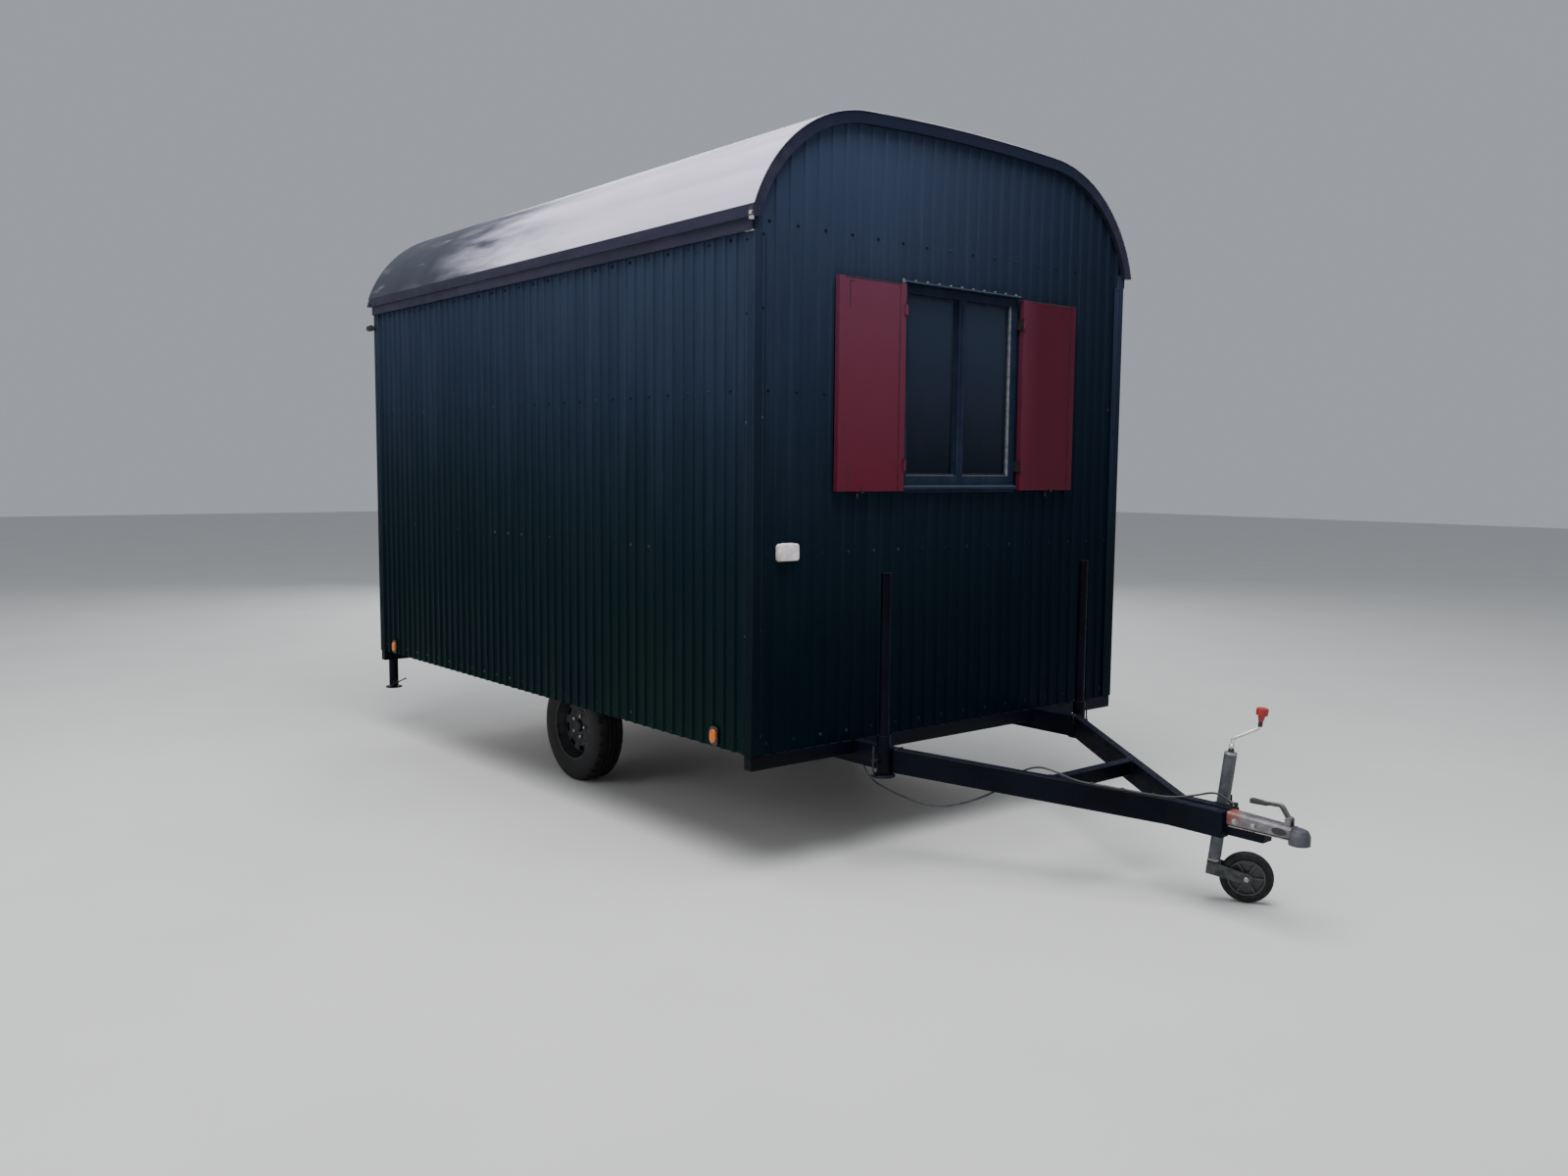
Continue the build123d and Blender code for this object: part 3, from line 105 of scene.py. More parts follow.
def patches(place, size, low=0.4, high=0.6, detail=5, stretch=(1, 1, 1)):
    """Soft patches of about that size, from 0 to 1, drawn out along an axis by stretch."""
    tree = place.id_data
    mapping = tree.nodes.new("ShaderNodeMapping")
    mapping.inputs["Scale"].default_value = [1 / (size * share) for share in stretch]
    noise = tree.nodes.new("ShaderNodeTexNoise")
    noise.inputs["Scale"].default_value = 1
    noise.inputs["Detail"].default_value = detail
    span = tree.nodes.new("ShaderNodeMapRange")
    span.inputs["From Min"].default_value = low
    span.inputs["From Max"].default_value = high
    tree.links.new(place, mapping.inputs["Vector"])
    tree.links.new(mapping.outputs["Vector"], noise.inputs["Vector"])
    tree.links.new(noise.outputs["Fac"], span.inputs["Value"])
    return span.outputs["Result"]


def coat(shader, share, under, over):
    """Lays one colour over another where share is 1, and gives the result to the shader."""
    tree = shader.id_data
    mix = tree.nodes.new("ShaderNodeMix")
    mix.data_type = "RGBA"
    tree.links.new(share, mix.inputs[0])
    for socket, colour in ((mix.inputs[6], under), (mix.inputs[7], over)):
        if isinstance(colour, tuple):
            socket.default_value = (*colour, 1)
        else:
            tree.links.new(colour, socket)
    tree.links.new(mix.outputs[2], shader.inputs["Base Color"])
    return mix.outputs[2]


def gloss(shader, share, smooth, dull):
    """Roughness from smooth to dull, by a pattern's share."""
    tree = shader.id_data
    span = tree.nodes.new("ShaderNodeMapRange")
    span.inputs["To Min"].default_value = smooth
    span.inputs["To Max"].default_value = dull
    tree.links.new(share, span.inputs["Value"])
    tree.links.new(span.outputs["Result"], shader.inputs["Roughness"])


def mottled(name, spots, under, over, shine, metallic=0.0, specular=0.5):
    """A finish of one colour with spots (size, low, high) of another, and a shine (size of its
    grain, smooth, dull). Gives back the finish, its shader, its coordinates and its colour."""
    grain, smooth, dull = shine
    finish, shader, place = new_finish(name, under, smooth, metallic, specular)
    colour = coat(shader, patches(place, *spots), under, over)
    gloss(shader, patches(place, grain, 0.3, 0.7), smooth, dull)
    return finish, shader, place, colour


def relief(shader, height, depth, strength):
    """Bumps of that depth in metres."""
    tree = shader.id_data
    bump = tree.nodes.new("ShaderNodeBump")
    bump.inputs["Distance"].default_value = depth
    bump.inputs["Strength"].default_value = strength
    tree.links.new(height, bump.inputs["Height"])
    tree.links.new(bump.outputs["Normal"], shader.inputs["Normal"])


def grit(shader, place, size, depth, strength=0.5):
    """A fine roughness that is felt all over, of that size and depth."""
    relief(shader, patches(place, size, 0.2, 0.8), depth, strength)


def alone(piece):
    """Selects one piece and nothing else."""
    bpy.ops.object.select_all(action="DESELECT")
    piece.select_set(True)
    bpy.context.view_layer.objects.active = piece


def rod(name, route, radius, steps):
    """A round rod that runs smoothly along a route, as a curve."""
    curve = bpy.data.curves.new(name, "CURVE")
    curve.dimensions = "3D"
    run = curve.splines.new("NURBS")
    run.points.add(len(route) - 1)
    for point, spot in zip(run.points, route):
        point.co = (*spot, 1)
    run.order_u = 3
    run.use_endpoint_u = True
    run.resolution_u = steps
    curve.bevel_depth = radius
    curve.bevel_resolution = 3
    curve.use_fill_caps = True
    return added(name, curve)


def turned(profile, steps, start, way, closed=False):
    """A profile of (radius, height) points, spun about an axis from start along way."""
    mesh = bpy.data.meshes.new("profile")
    links = [(corner, corner + 1) for corner in range(len(profile) - 1)]
    if closed:
        links.append((len(profile) - 1, 0))
    mesh.from_pydata([(radius, 0, height) for radius, height in profile], links, [])
    piece = added("turned", mesh)
    alone(piece)
    bpy.ops.object.mode_set(mode="EDIT")
    bpy.ops.mesh.select_all(action="SELECT")
    bpy.ops.mesh.spin(steps=steps, angle=2 * pi, center=(0, 0, 0), axis=(0, 0, 1))
    bpy.ops.mesh.select_all(action="SELECT")
    bpy.ops.mesh.remove_doubles(threshold=0.00001)
    bpy.ops.mesh.normals_make_consistent(inside=False)
    bpy.ops.object.mode_set(mode="OBJECT")
    turn = Vector(way).to_track_quat("Z", "Y").to_matrix().to_4x4()
    piece.matrix_world = Matrix.Translation(start) @ turn
    bpy.ops.object.transform_apply()
    return piece


def fit(pieces, name, finish, body="hut", stands_for=None, angle=30):
    """Ends a piece, or several as one: its place goes into its mesh, its large faces look flat, and
    it gets its name, finish and body, and the solid that it stands for is hidden."""
    if not isinstance(pieces, list):
        pieces = [pieces]
    piece = pieces[0]
    alone(piece)
    if len(pieces) > 1:
        for other in pieces:
            other.select_set(True)
        bpy.ops.object.join()
    bpy.ops.object.transform_apply()
    bpy.ops.object.shade_smooth_by_angle(angle=radians(angle))
    flat_faces = piece.modifiers.new("flat_faces", "WEIGHTED_NORMAL")
    flat_faces.keep_sharp = True
    bpy.ops.object.modifier_apply(modifier=flat_faces.name)
    piece.name = name
    piece.data.materials.clear()
    piece.data.materials.append(finish)
    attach(piece, body)
    if stands_for:
        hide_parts(stands_for)
    return piece


def paint_nodes(finish, *names):
    """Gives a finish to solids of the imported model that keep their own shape."""
    for name in names:
        mesh = frame["nodes"][name].data
        mesh.materials.clear()
        mesh.materials.append(finish)


cable_black, shader, place, colour = mottled(
    "cable_black", (0.04, 0.4, 0.6),
    (0.012, 0.014, 0.018), (0.036, 0.038, 0.042), (0.01, 0.42, 0.62)
)
grit(shader, place, 0.002, 0.0002)
# Black plastic and rubber, also used for painted shadow and painted shade in dark strips and discs.
clip_black_and_shade = mottled(
    "clip_black_and_shade", (0.006, 0.4, 0.6),
    (0.009, 0.009, 0.011), (0.020, 0.020, 0.022), (0.004, 0.35, 0.6)
)[0]
paint_nodes(clip_black_and_shade, "cable_clips")
cable_diameter = 0.008
cable_route = (
    (1.0400, -0.5400, 0.4320), (1.0400, -0.5400, 0.3820), (1.1050, -0.5490, 0.3270),
    (1.1950, -0.5520, 0.3050), (1.3000, -0.5380, 0.2840), (1.4054, -0.5081, 0.2647),
    (1.5077, -0.4700, 0.2821), (1.5905, -0.4196, 0.3198), (1.6398, -0.3602, 0.3532),
    (1.6798, -0.3253, 0.4097), (1.7300, -0.2904, 0.4520), (1.7998, -0.2877, 0.4741),
    (1.8677, -0.2742, 0.4645), (1.9355, -0.2327, 0.4331), (2.0351, -0.1713, 0.4219),
    (2.1346, -0.1129, 0.4106), (2.2313, -0.0502, 0.3997), (2.3060, -0.0040, 0.4150),
    (2.3720, 0.0380, 0.4380), (2.4120, 0.0460, 0.4210), (2.4450, 0.0500, 0.4030),
)
cable_lead = rod("cable_lead", cable_route, cable_diameter / 2, 8)
cable_lead.data.materials.append(cable_black)
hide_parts("cable")
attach(cable_lead, "hut")
gland_profile = (
    (0.0044, 0), (0.0078, 0), (0.0078, 0.004), (0.0070, 0.006), (0.0052, 0.024), (0.0044, 0.024),
)
for name, at, after in (("start_gland", 0, 1), ("end_gland", -1, -2)):
    spot = Vector(cable_route[at])
    sleeve = turned(gland_profile, 20, spot, Vector(cable_route[after]) - spot, closed=True)
    fit(sleeve, name + "_sleeve", clip_black_and_shade)


def along(place, axis, start, end):
    """0 before start and 1 past end along one axis, to fade dirt or colour across a piece."""
    tree = place.id_data
    split = tree.nodes.new("ShaderNodeSeparateXYZ")
    span = tree.nodes.new("ShaderNodeMapRange")
    span.inputs["From Min"].default_value = start
    span.inputs["From Max"].default_value = end
    tree.links.new(place, split.inputs["Vector"])
    tree.links.new(split.outputs[axis], span.inputs["Value"])
    return span.outputs["Result"]


def times(one, other):
    """Where one pattern and the other are both strong. The other may be a plain share."""
    tree = one.id_data
    product = tree.nodes.new("ShaderNodeMath")
    product.operation = "MULTIPLY"
    product.use_clamp = True
    tree.links.new(one, product.inputs[0])
    if isinstance(other, float):
        product.inputs[1].default_value = other
    else:
        tree.links.new(other, product.inputs[1])
    return product.outputs["Value"]


def upward(place):
    """1 on faces that look up and 0 on all others: where dust settles, and where top faces are
    painted lighter as if lit from above.
    """
    tree = place.id_data
    normal = tree.nodes.new("ShaderNodeNewGeometry").outputs["Normal"]
    return along(normal, "Z", 0.3, 0.95)


def edges(place, width):
    """1 along edges, where paint wears through or a painted highlight lies, and 0 on flat faces."""
    tree = place.id_data
    rounded = tree.nodes.new("ShaderNodeBevel")
    rounded.inputs["Radius"].default_value = width
    plain = tree.nodes.new("ShaderNodeNewGeometry")
    turn = tree.nodes.new("ShaderNodeVectorMath")
    turn.operation = "DOT_PRODUCT"
    span = tree.nodes.new("ShaderNodeMapRange")
    span.inputs["From Min"].default_value = 0.98
    span.inputs["From Max"].default_value = 0.85
    tree.links.new(rounded.outputs["Normal"], turn.inputs[0])
    tree.links.new(plain.outputs["Normal"], turn.inputs[1])
    tree.links.new(turn.outputs["Value"], span.inputs["Value"])
    return span.outputs["Result"]


def round_edges(piece, width, segments=2):
    """Rounds every edge of a piece that is sharper than 30 degrees."""
    alone(piece)
    rounding = piece.modifiers.new("rounding", "BEVEL")
    rounding.width = width
    rounding.segments = segments
    rounding.limit_method = "ANGLE"
    rounding.angle_limit = radians(30)
    bpy.ops.object.modifier_apply(modifier=rounding.name)


def rounded(node, width, finish, segments=2):
    """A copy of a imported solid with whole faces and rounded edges, that stands for it."""
    piece = added(node + "_rounded", frame["nodes"][node].data.copy())
    alone(piece)
    bpy.ops.mesh.customdata_custom_splitnormals_clear()
    bpy.ops.object.mode_set(mode="EDIT")
    bpy.ops.mesh.select_all(action="SELECT")
    bpy.ops.mesh.remove_doubles(threshold=0.00001)
    bpy.ops.mesh.dissolve_limited(angle_limit=radians(1))
    bpy.ops.object.mode_set(mode="OBJECT")
    round_edges(piece, width, segments)
    fit(piece, node + "_rounded", finish, frame["nodes"][node]["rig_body"], node)


def weld(start, end):
    """A weld from start to end: a row of flat ripples, half sunk in the corner that they fill."""
    width = 0.008
    start, end = Vector(start), Vector(end)
    count = round((end - start).length / (0.4 * width)) + 1
    bpy.ops.object.select_all(action="DESELECT")
    bpy.ops.mesh.primitive_uv_sphere_add(segments=8, ring_count=6, radius=width / 2)
    bead = bpy.context.object
    ripples = bead.modifiers.new("ripples", "ARRAY")
    ripples.use_relative_offset = False
    ripples.use_constant_offset = True
    ripples.constant_offset_displace = (end - start) / (count - 1)
    ripples.count = count
    bpy.ops.object.modifier_apply(modifier=ripples.name)
    bead.location = start
    bpy.ops.object.transform_apply()
    return bead


chassis_black, shader, place, colour = mottled(
    "chassis_black", (0.3, 0.4, 0.6), (0.0008, 0.0014, 0.0042), (0.0024, 0.0038, 0.0098),
    (0.02, 0.34, 0.62), specular=0.08,
)
# Bluish dust on faces that look up, which is also a painted sky sheen on the top faces.
dust_and_sheen = times(upward(place), patches(place, 0.05, 0.1, 0.7))
colour = coat(shader, times(dust_and_sheen, 0.6), colour, (0.014, 0.016, 0.030))
# Pale chips along worn edges, which also stand as painted glints along the edges.
chips_and_glints = times(edges(place, 0.004), patches(place, 0.03, 0.53, 0.63))
coat(shader, chips_and_glints, colour, (0.13, 0.13, 0.165))
grit(shader, place, 0.012, 0.0006)
for node in ("chassis_rails", "end_beams", "drawbar_legs", "drawbar_crossbar"):
    rounded(node, 0.005, chassis_black, 3)
rounded("axle", 0.003, chassis_black)
bar_low, bar_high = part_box("drawbar_crossbar")
bar_slant = 0.0298
rail_low, rail_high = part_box("chassis_rails")
rail_width = 0.05
seams = []
for side in (-1, 1):
    back = (bar_low.x, side * bar_high.y)
    front = (bar_high.x, side * (bar_high.y - bar_slant))
    for level in (bar_low.z, bar_high.z):
        seams.append(weld((*back, level), (*front, level)))
    for corner in (back, front):
        seams.append(weld((*corner, bar_low.z), (*corner, bar_high.z)))
for side in (-1, 1):
    outer = side * rail_high.y
    inner = side * (rail_high.y - rail_width)
    seams.append(weld((rail_high.x, inner, rail_high.z), (rail_high.x, outer, rail_high.z)))
    for reach in (inner, outer):
        seams.append(weld((rail_high.x, reach, rail_low.z), (rail_high.x, reach, rail_high.z)))
fit(seams, "chassis_welds", chassis_black)


# Road wheels: a radial tyre with three grooves and cut shoulders, on a painted steel rim whose disc
# has a ring of slots, held by five nuts to a hub on the axle's stub.
joint_of = {joint["name"]: joint for joint in frame["joints"]}


def mirrored(half):
    """A profile from its first half, where the second half is the same the other way up."""
    return half + tuple((radius, -height) for radius, height in reversed(half))


def choose_faces(piece, test):
    """Selects the faces of a piece for which test(middle, normal) holds, in edit mode."""
    bpy.ops.object.mode_set(mode="EDIT")
    bpy.ops.mesh.select_mode(type="FACE")
    bpy.ops.mesh.select_all(action="DESELECT")
    shape = bmesh.from_edit_mesh(piece.data)
    for face in shape.faces:
        face.select_set(bool(test(face.calc_center_median(), face.normal)))
    bmesh.update_edit_mesh(piece.data)


def thicken(piece, wall, shift=0.0):
    """Gives a sheet its wall: half on each side, or all of it behind where shift is -1."""
    alone(piece)
    wall_maker = piece.modifiers.new("wall", "SOLIDIFY")
    wall_maker.thickness = wall
    wall_maker.offset = shift
    bpy.ops.object.modifier_apply(modifier=wall_maker.name)


tyre_black, shader, place = new_finish("tyre_black", (0.008, 0.008, 0.009), 0.75, specular=0.25)
mud = patches(place, 0.06, 0.5, 0.75)
coat(shader, mud, (0.006, 0.006, 0.007), (0.024, 0.022, 0.020))
gloss(shader, mud, 0.6, 0.9)
grit(shader, place, 0.004, 0.0004, 0.6)
rim_grey = mottled(
    "rim_grey", (0.05, 0.45, 0.65), (0.024, 0.025, 0.029), (0.014, 0.013, 0.012), (0.03, 0.4, 0.7),
    metallic=0.2, specular=0.3,
)[0]
nut_zinc = mottled(
    "nut_zinc", (0.01, 0.4, 0.7),
    (0.38, 0.38, 0.37), (0.17, 0.15, 0.13), (0.006, 0.28, 0.55), metallic=0.85
)[0]
tyre_steps = 90
cut_start, cut_end, cut_radius = 0.038, 0.072, 0.27
sidewall = ((0.1655, 0.066), (0.1760, 0.071), (0.2050, 0.0795), (0.2360, 0.0825), (0.2600, 0.078))
shoulder = ((0.2740, 0.069), (0.2810, 0.058), (0.2835, 0.040))
groove = ((0.2840, 0.030), (0.2770, 0.029), (0.2770, 0.024), (0.2845, 0.023))
crown = ((0.2850, 0.003), (0.2780, 0.0025))
tyre_profile = mirrored(sidewall + shoulder + groove + crown)
rim_profile = (
    (0.1760, -0.0695), (0.1665, -0.0680), (0.1640, -0.0520), (0.1500, -0.0440), (0.1480, 0.0000),
    (0.1520, 0.0300), (0.1640, 0.0500), (0.1665, 0.0680), (0.1760, 0.0695),
)
disc_profile = (
    (0.1500, 0.0060), (0.1420, 0.0200), (0.1300, 0.0275), (0.1060, 0.0250), (0.0900, 0.0190),
    (0.0760, 0.0240), (0.0330, 0.0240),
)
hub_profile = (
    (0.0000, -0.0450), (0.0480, -0.0450), (0.0520, -0.0410), (0.0520, 0.0180), (0.0310, 0.0200),
    (0.0300, 0.0360), (0.0240, 0.0430), (0.0120, 0.0448), (0.0000, 0.0450),
)
nut_profile = (
    (0.0000, 0.0230), (0.0105, 0.0230), (0.0105, 0.0330), (0.0085, 0.0360), (0.0000, 0.0360),
)
nut_circle = 0.056
slot_steps = 48
slot_inside, slot_outside = 0.107, 0.129


def step_about(middle, hub, steps):
    """The number of the step about a wheel's axle at which a face lies."""
    return int((atan2(middle.z - hub.z, middle.x - hub.x) + pi) / (2 * pi) * steps)


for side_name, side in (("right", -1), ("left", 1)):
    body = side_name + "_wheel"
    hub = Vector(joint_of[body + "_spin"]["pos_m"])
    outwards = Vector((0, side, 0))
    tyre = turned(tyre_profile, tyre_steps, hub, outwards, closed=True)
    choose_faces(
        tyre,
        lambda middle, normal: (
            cut_start < abs(middle.y - hub.y) < cut_end
            and (middle - hub).length > cut_radius
            and step_about(middle, hub, tyre_steps) % 3 == 0
        ),
    )
    bpy.ops.mesh.inset(thickness=0.0008, depth=-0.005)
    bpy.ops.object.mode_set(mode="OBJECT")
    fit(tyre, body + "_tyre", tyre_black, body, side_name + "_tyre")
    barrel = turned(rim_profile, 64, hub, outwards)
    thicken(barrel, 0.004)
    disc = turned(disc_profile, slot_steps, hub, outwards)
    choose_faces(
        disc,
        lambda middle, normal: (
            slot_inside < Vector((middle.x - hub.x, middle.z - hub.z)).length < slot_outside
            and step_about(middle, hub, slot_steps) % 6 < 3
        ),
    )
    bpy.ops.mesh.delete(type="FACE")
    bpy.ops.object.mode_set(mode="OBJECT")
    thicken(disc, 0.005)
    round_edges(disc, 0.001)
    drum = turned(hub_profile, 40, hub, outwards)
    fit([barrel, disc, drum], body + "_rim", rim_grey, body, side_name + "_rim")
    nuts = []
    for turn in range(5):
        angle = turn * 2 * pi / 5
        spot = hub + Vector((cos(angle), 0, sin(angle))) * nut_circle
        nuts.append(turned(nut_profile, 6, spot, outwards))
    fit(nuts, body + "_nuts", nut_zinc, body)


# Corner steadies: a tube with a pressed foot plate, dropped through a sleeve that is welded to the
# chassis and held there by a screw with a T-bar, worn bright where hands and boots touch it.
def block(one, other, rounding=0.0):
    """A block between two opposite corners, with its edges rounded if asked."""
    bpy.ops.object.select_all(action="DESELECT")
    bpy.ops.mesh.primitive_cube_add(size=1, location=(Vector(one) + Vector(other)) / 2)
    piece = bpy.context.object
    piece.scale = [abs(size) for size in Vector(other) - Vector(one)]
    bpy.ops.object.transform_apply()
    if rounding:
        round_edges(piece, rounding)
    return piece


worn_steel = mottled(
    "worn_steel", (0.012, 0.55, 0.68),
    (0.010, 0.012, 0.020), (0.16, 0.155, 0.155), (0.008, 0.3, 0.6),
    metallic=0.4,
)[0]
steady_length = 0.84
leg_profile = (
    (0.0000, 0.0000), (0.0485, 0.0000), (0.0500, 0.0020), (0.0500, 0.0060), (0.0480, 0.0080),
    (0.0420, 0.0072), (0.0260, 0.0080), (0.0225, 0.0120), (0.0210, 0.0170),
    (0.0210, steady_length - 0.004), (0.0195, steady_length - 0.001), (0.0175, steady_length),
    (0.0000, steady_length),
)
sleeve_radius = 0.028
sleeve_bore = 0.022
sleeve_foot = 0.013
bar_reach = 0.0575
boss_profile = (
    (0.0000, 0.0240), (0.0140, 0.0240), (0.0140, 0.0370), (0.0120, 0.0400), (0.0000, 0.0400),
)
clamp_profile = (
    (0.0000, 0.0265), (0.0070, 0.0265), (0.0070, 0.0620), (0.0055, 0.0624), (0.0000, 0.0624),
)
bar_profile = mirrored(
    ((0.0000, -0.0600), (0.0042, -0.0600), (0.0050, -0.0580), (0.0050, -0.0540), (0.0038, -0.0520))
)
beams_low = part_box("end_beams")[0]
for end, clamp_height, out, bar_way in (
    ("front", 0.060, None, (0, 0, 1)),
    ("rear", 0.025, (1, 0, 0), (0, sin(radians(70)), cos(radians(70)))),
):
    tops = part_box(end + "_steady_sleeves")[1].z
    sleeves, fittings = [], []
    for side_name, side in (("right", -1), ("left", 1)):
        steady = end + "_" + side_name + "_steady"
        low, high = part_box(steady)
        middle = Vector(((low.x + high.x) / 2, (low.y + high.y) / 2, 0))
        leg = turned(leg_profile, 40, middle + Vector((0, 0, low.z)), (0, 0, 1))
        fit(leg, steady + "_tube", chassis_black, steady + "_leg", steady)
        bottom = low.z + sleeve_foot
        sleeve_profile = (
            (sleeve_bore, bottom), (sleeve_radius - 0.001, bottom), (sleeve_radius, bottom + 0.001),
            (sleeve_radius, tops - 0.001), (sleeve_radius - 0.001, tops), (sleeve_bore, tops),
        )
        way = Vector(out or (0, side, 0))
        spot = middle + Vector((0, 0, bottom + clamp_height))
        sleeves.append(turned(sleeve_profile, 40, middle, (0, 0, 1), closed=True))
        sleeves.append(turned(boss_profile, 6, spot, way))
        fittings.append(turned(clamp_profile, 20, spot, way))
        fittings.append(turned(bar_profile, 16, spot + way * bar_reach, bar_way))
        if end == "rear":
            bracket_back = (middle.x + sleeve_radius - 0.003, middle.y - sleeve_radius, beams_low.z)
            bracket_front = (beams_low.x, middle.y + sleeve_radius, tops)
            sleeves.append(block(bracket_back, bracket_front, 0.003))
    fit(
        sleeves, end + "_steady_collars", chassis_black,
        stands_for=end + "_steady_sleeves",
    )
    fit(fittings, end + "_steady_screws", worn_steel)


# Jockey wheel: a grey painted tube clamped to the left leg of the nose, with an inner tube that a
# crank winds out, and a swivelling fork with a small rubber-tyred wheel.
def copied(piece, move):
    """A copy of a piece with its own mesh, moved by a matrix."""
    twin = added(piece.name + "_copy", piece.data.copy())
    twin.data.transform(move)
    return twin


jockey_top = Vector(joint_of["crank_turn"]["pos_m"])
jockey_foot = Vector(joint_of["jockey_swivel_turn"]["pos_m"])
jockey_hub = Vector(joint_of["jockey_wheel_spin"]["pos_m"])
jockey_axle = Vector(joint_of["jockey_wheel_spin"]["axis"]).normalized()
tube_up = (jockey_top - jockey_foot).normalized()
trail = jockey_axle.cross(tube_up).normalized()
tube_length = (jockey_top - jockey_foot).length
tube_grey, shader, place, colour = mottled(
    "tube_grey", (0.03, 0.4, 0.65),
    (0.090, 0.098, 0.112), (0.056, 0.062, 0.072), (0.01, 0.36, 0.62),
    metallic=0.3,
)
wear_and_highlight = times(edges(place, 0.002), patches(place, 0.02, 0.45, 0.6))
coat(shader, wear_and_highlight, colour, (0.22, 0.20, 0.18))
zinc, shader, place, colour = mottled(
    "zinc", (0.012, 0.35, 0.65),
    (0.42, 0.41, 0.41), (0.20, 0.19, 0.18), (0.01, 0.3, 0.6), metallic=0.8
)
coat(shader, patches(place, 0.03, 0.60, 0.70), colour, (0.16, 0.075, 0.045))
grit(shader, place, 0.004, 0.0002)
dull_zinc, shader, place, colour = mottled(
    "dull_zinc", (0.02, 0.4, 0.65),
    (0.070, 0.076, 0.078), (0.035, 0.038, 0.040), (0.01, 0.38, 0.62),
    metallic=0.5,
)
wear_and_highlight = times(edges(place, 0.002), patches(place, 0.02, 0.4, 0.6))
coat(shader, wear_and_highlight, colour, (0.20, 0.20, 0.20))
tube_start = 0.030
tube_profile = (
    (0.0193, tube_start), (0.0232, tube_start), (0.0240, tube_start + 0.001),
    (0.0240, tube_length - 0.002), (0.0193, tube_length - 0.002),
)
tube = turned(tube_profile, 40, jockey_foot, tube_up, closed=True)
fit(tube, "jockey_tube_barrel", tube_grey, "jockey_tube", "jockey_outer_tube")
tube_cap_profile = (
    (0.0070, 0.0), (0.0215, -0.001), (0.0240, -0.001), (0.0240, 0.004), (0.0225, 0.0065),
    (0.0130, 0.0070), (0.0070, 0.0070),
)
cap = turned(tube_cap_profile, 40, jockey_top, tube_up, closed=True)
fit(cap, "jockey_tube_cap", zinc, "jockey_tube")
inner_profile = (
    (0.0000, 0.0120), (0.0225, 0.0120), (0.0240, 0.0135), (0.0240, 0.0245), (0.0225, 0.0260),
    (0.0190, 0.0265), (0.0190, 0.2300), (0.0000, 0.2300),
)
inner = turned(inner_profile, 40, jockey_foot, tube_up)
fit(inner, "jockey_slide_barrel", zinc, "jockey_slide_tube", "jockey_inner_tube")
rounded("jockey_fork", 0.0025, dull_zinc)
rounded("jockey_clamp", 0.0015, chassis_black)

jockey_rubber, shader, place, colour = mottled(
    "jockey_rubber", (0.02, 0.5, 0.75),
    (0.007, 0.008, 0.010), (0.030, 0.028, 0.025), (0.01, 0.55, 0.85),
    specular=0.3,
)
grit(shader, place, 0.003, 0.0003)
small_tyre_profile = mirrored((
    (0.0690, 0.0140), (0.0730, 0.0190), (0.0800, 0.0218), (0.0880, 0.0205), (0.0950, 0.0160),
    (0.0985, 0.0100), (0.0995, 0.0040), (0.0980, 0.0028),
))
small_tyre = turned(small_tyre_profile, 64, jockey_hub, jockey_axle, closed=True)
fit(small_tyre, "jockey_wheel_tyre", jockey_rubber, "jockey_wheel", "jockey_tyre")
jockey_plastic = mottled(
    "jockey_plastic", (0.02, 0.4, 0.7),
    (0.042, 0.044, 0.052), (0.075, 0.074, 0.072), (0.01, 0.4, 0.65)
)[0]
bed_half = ((0.0640, -0.0180), (0.0700, -0.0180))
web_half = ((0.0165, -0.0025), (0.0645, -0.0025))
boss_half = ((0.0062, -0.0220), (0.0165, -0.0220), (0.0180, -0.0200))
wheel_pieces = []
for half, steps in ((bed_half, 64), (web_half, 64), (boss_half, 40)):
    wheel_pieces.append(turned(mirrored(half), steps, jockey_hub, jockey_axle, closed=True))
spoke_turn = jockey_axle.to_track_quat("Z", "Y").to_matrix().to_4x4()
spoke = block((0.0170, -0.0030, -0.0150), (0.0650, 0.0030, 0.0150), 0.001)
for turn in range(6):
    move = Matrix.Translation(jockey_hub) @ spoke_turn @ Matrix.Rotation(turn * pi / 3, 4, "Z")
    wheel_pieces.append(copied(spoke, move))
bpy.data.objects.remove(spoke)
fit(
    wheel_pieces, "jockey_wheel_spokes", jockey_plastic,
    "jockey_wheel", "jockey_rim",
)
pin_profile = mirrored(((0.0000, -0.0310), (0.0058, -0.0310), (0.0060, -0.0300)))
pin_nut_profile = (
    (0.0000, 0.0300), (0.0110, 0.0300), (0.0110, 0.0365), (0.0090, 0.0385), (0.0000, 0.0385),
)
pin_pieces = [turned(pin_profile, 20, jockey_hub, jockey_axle)]
for way in (jockey_axle, -jockey_axle):
    pin_pieces.append(turned(pin_nut_profile, 6, jockey_hub, way))
fit(pin_pieces, "jockey_axle_pin", nut_zinc, "jockey_swivel")

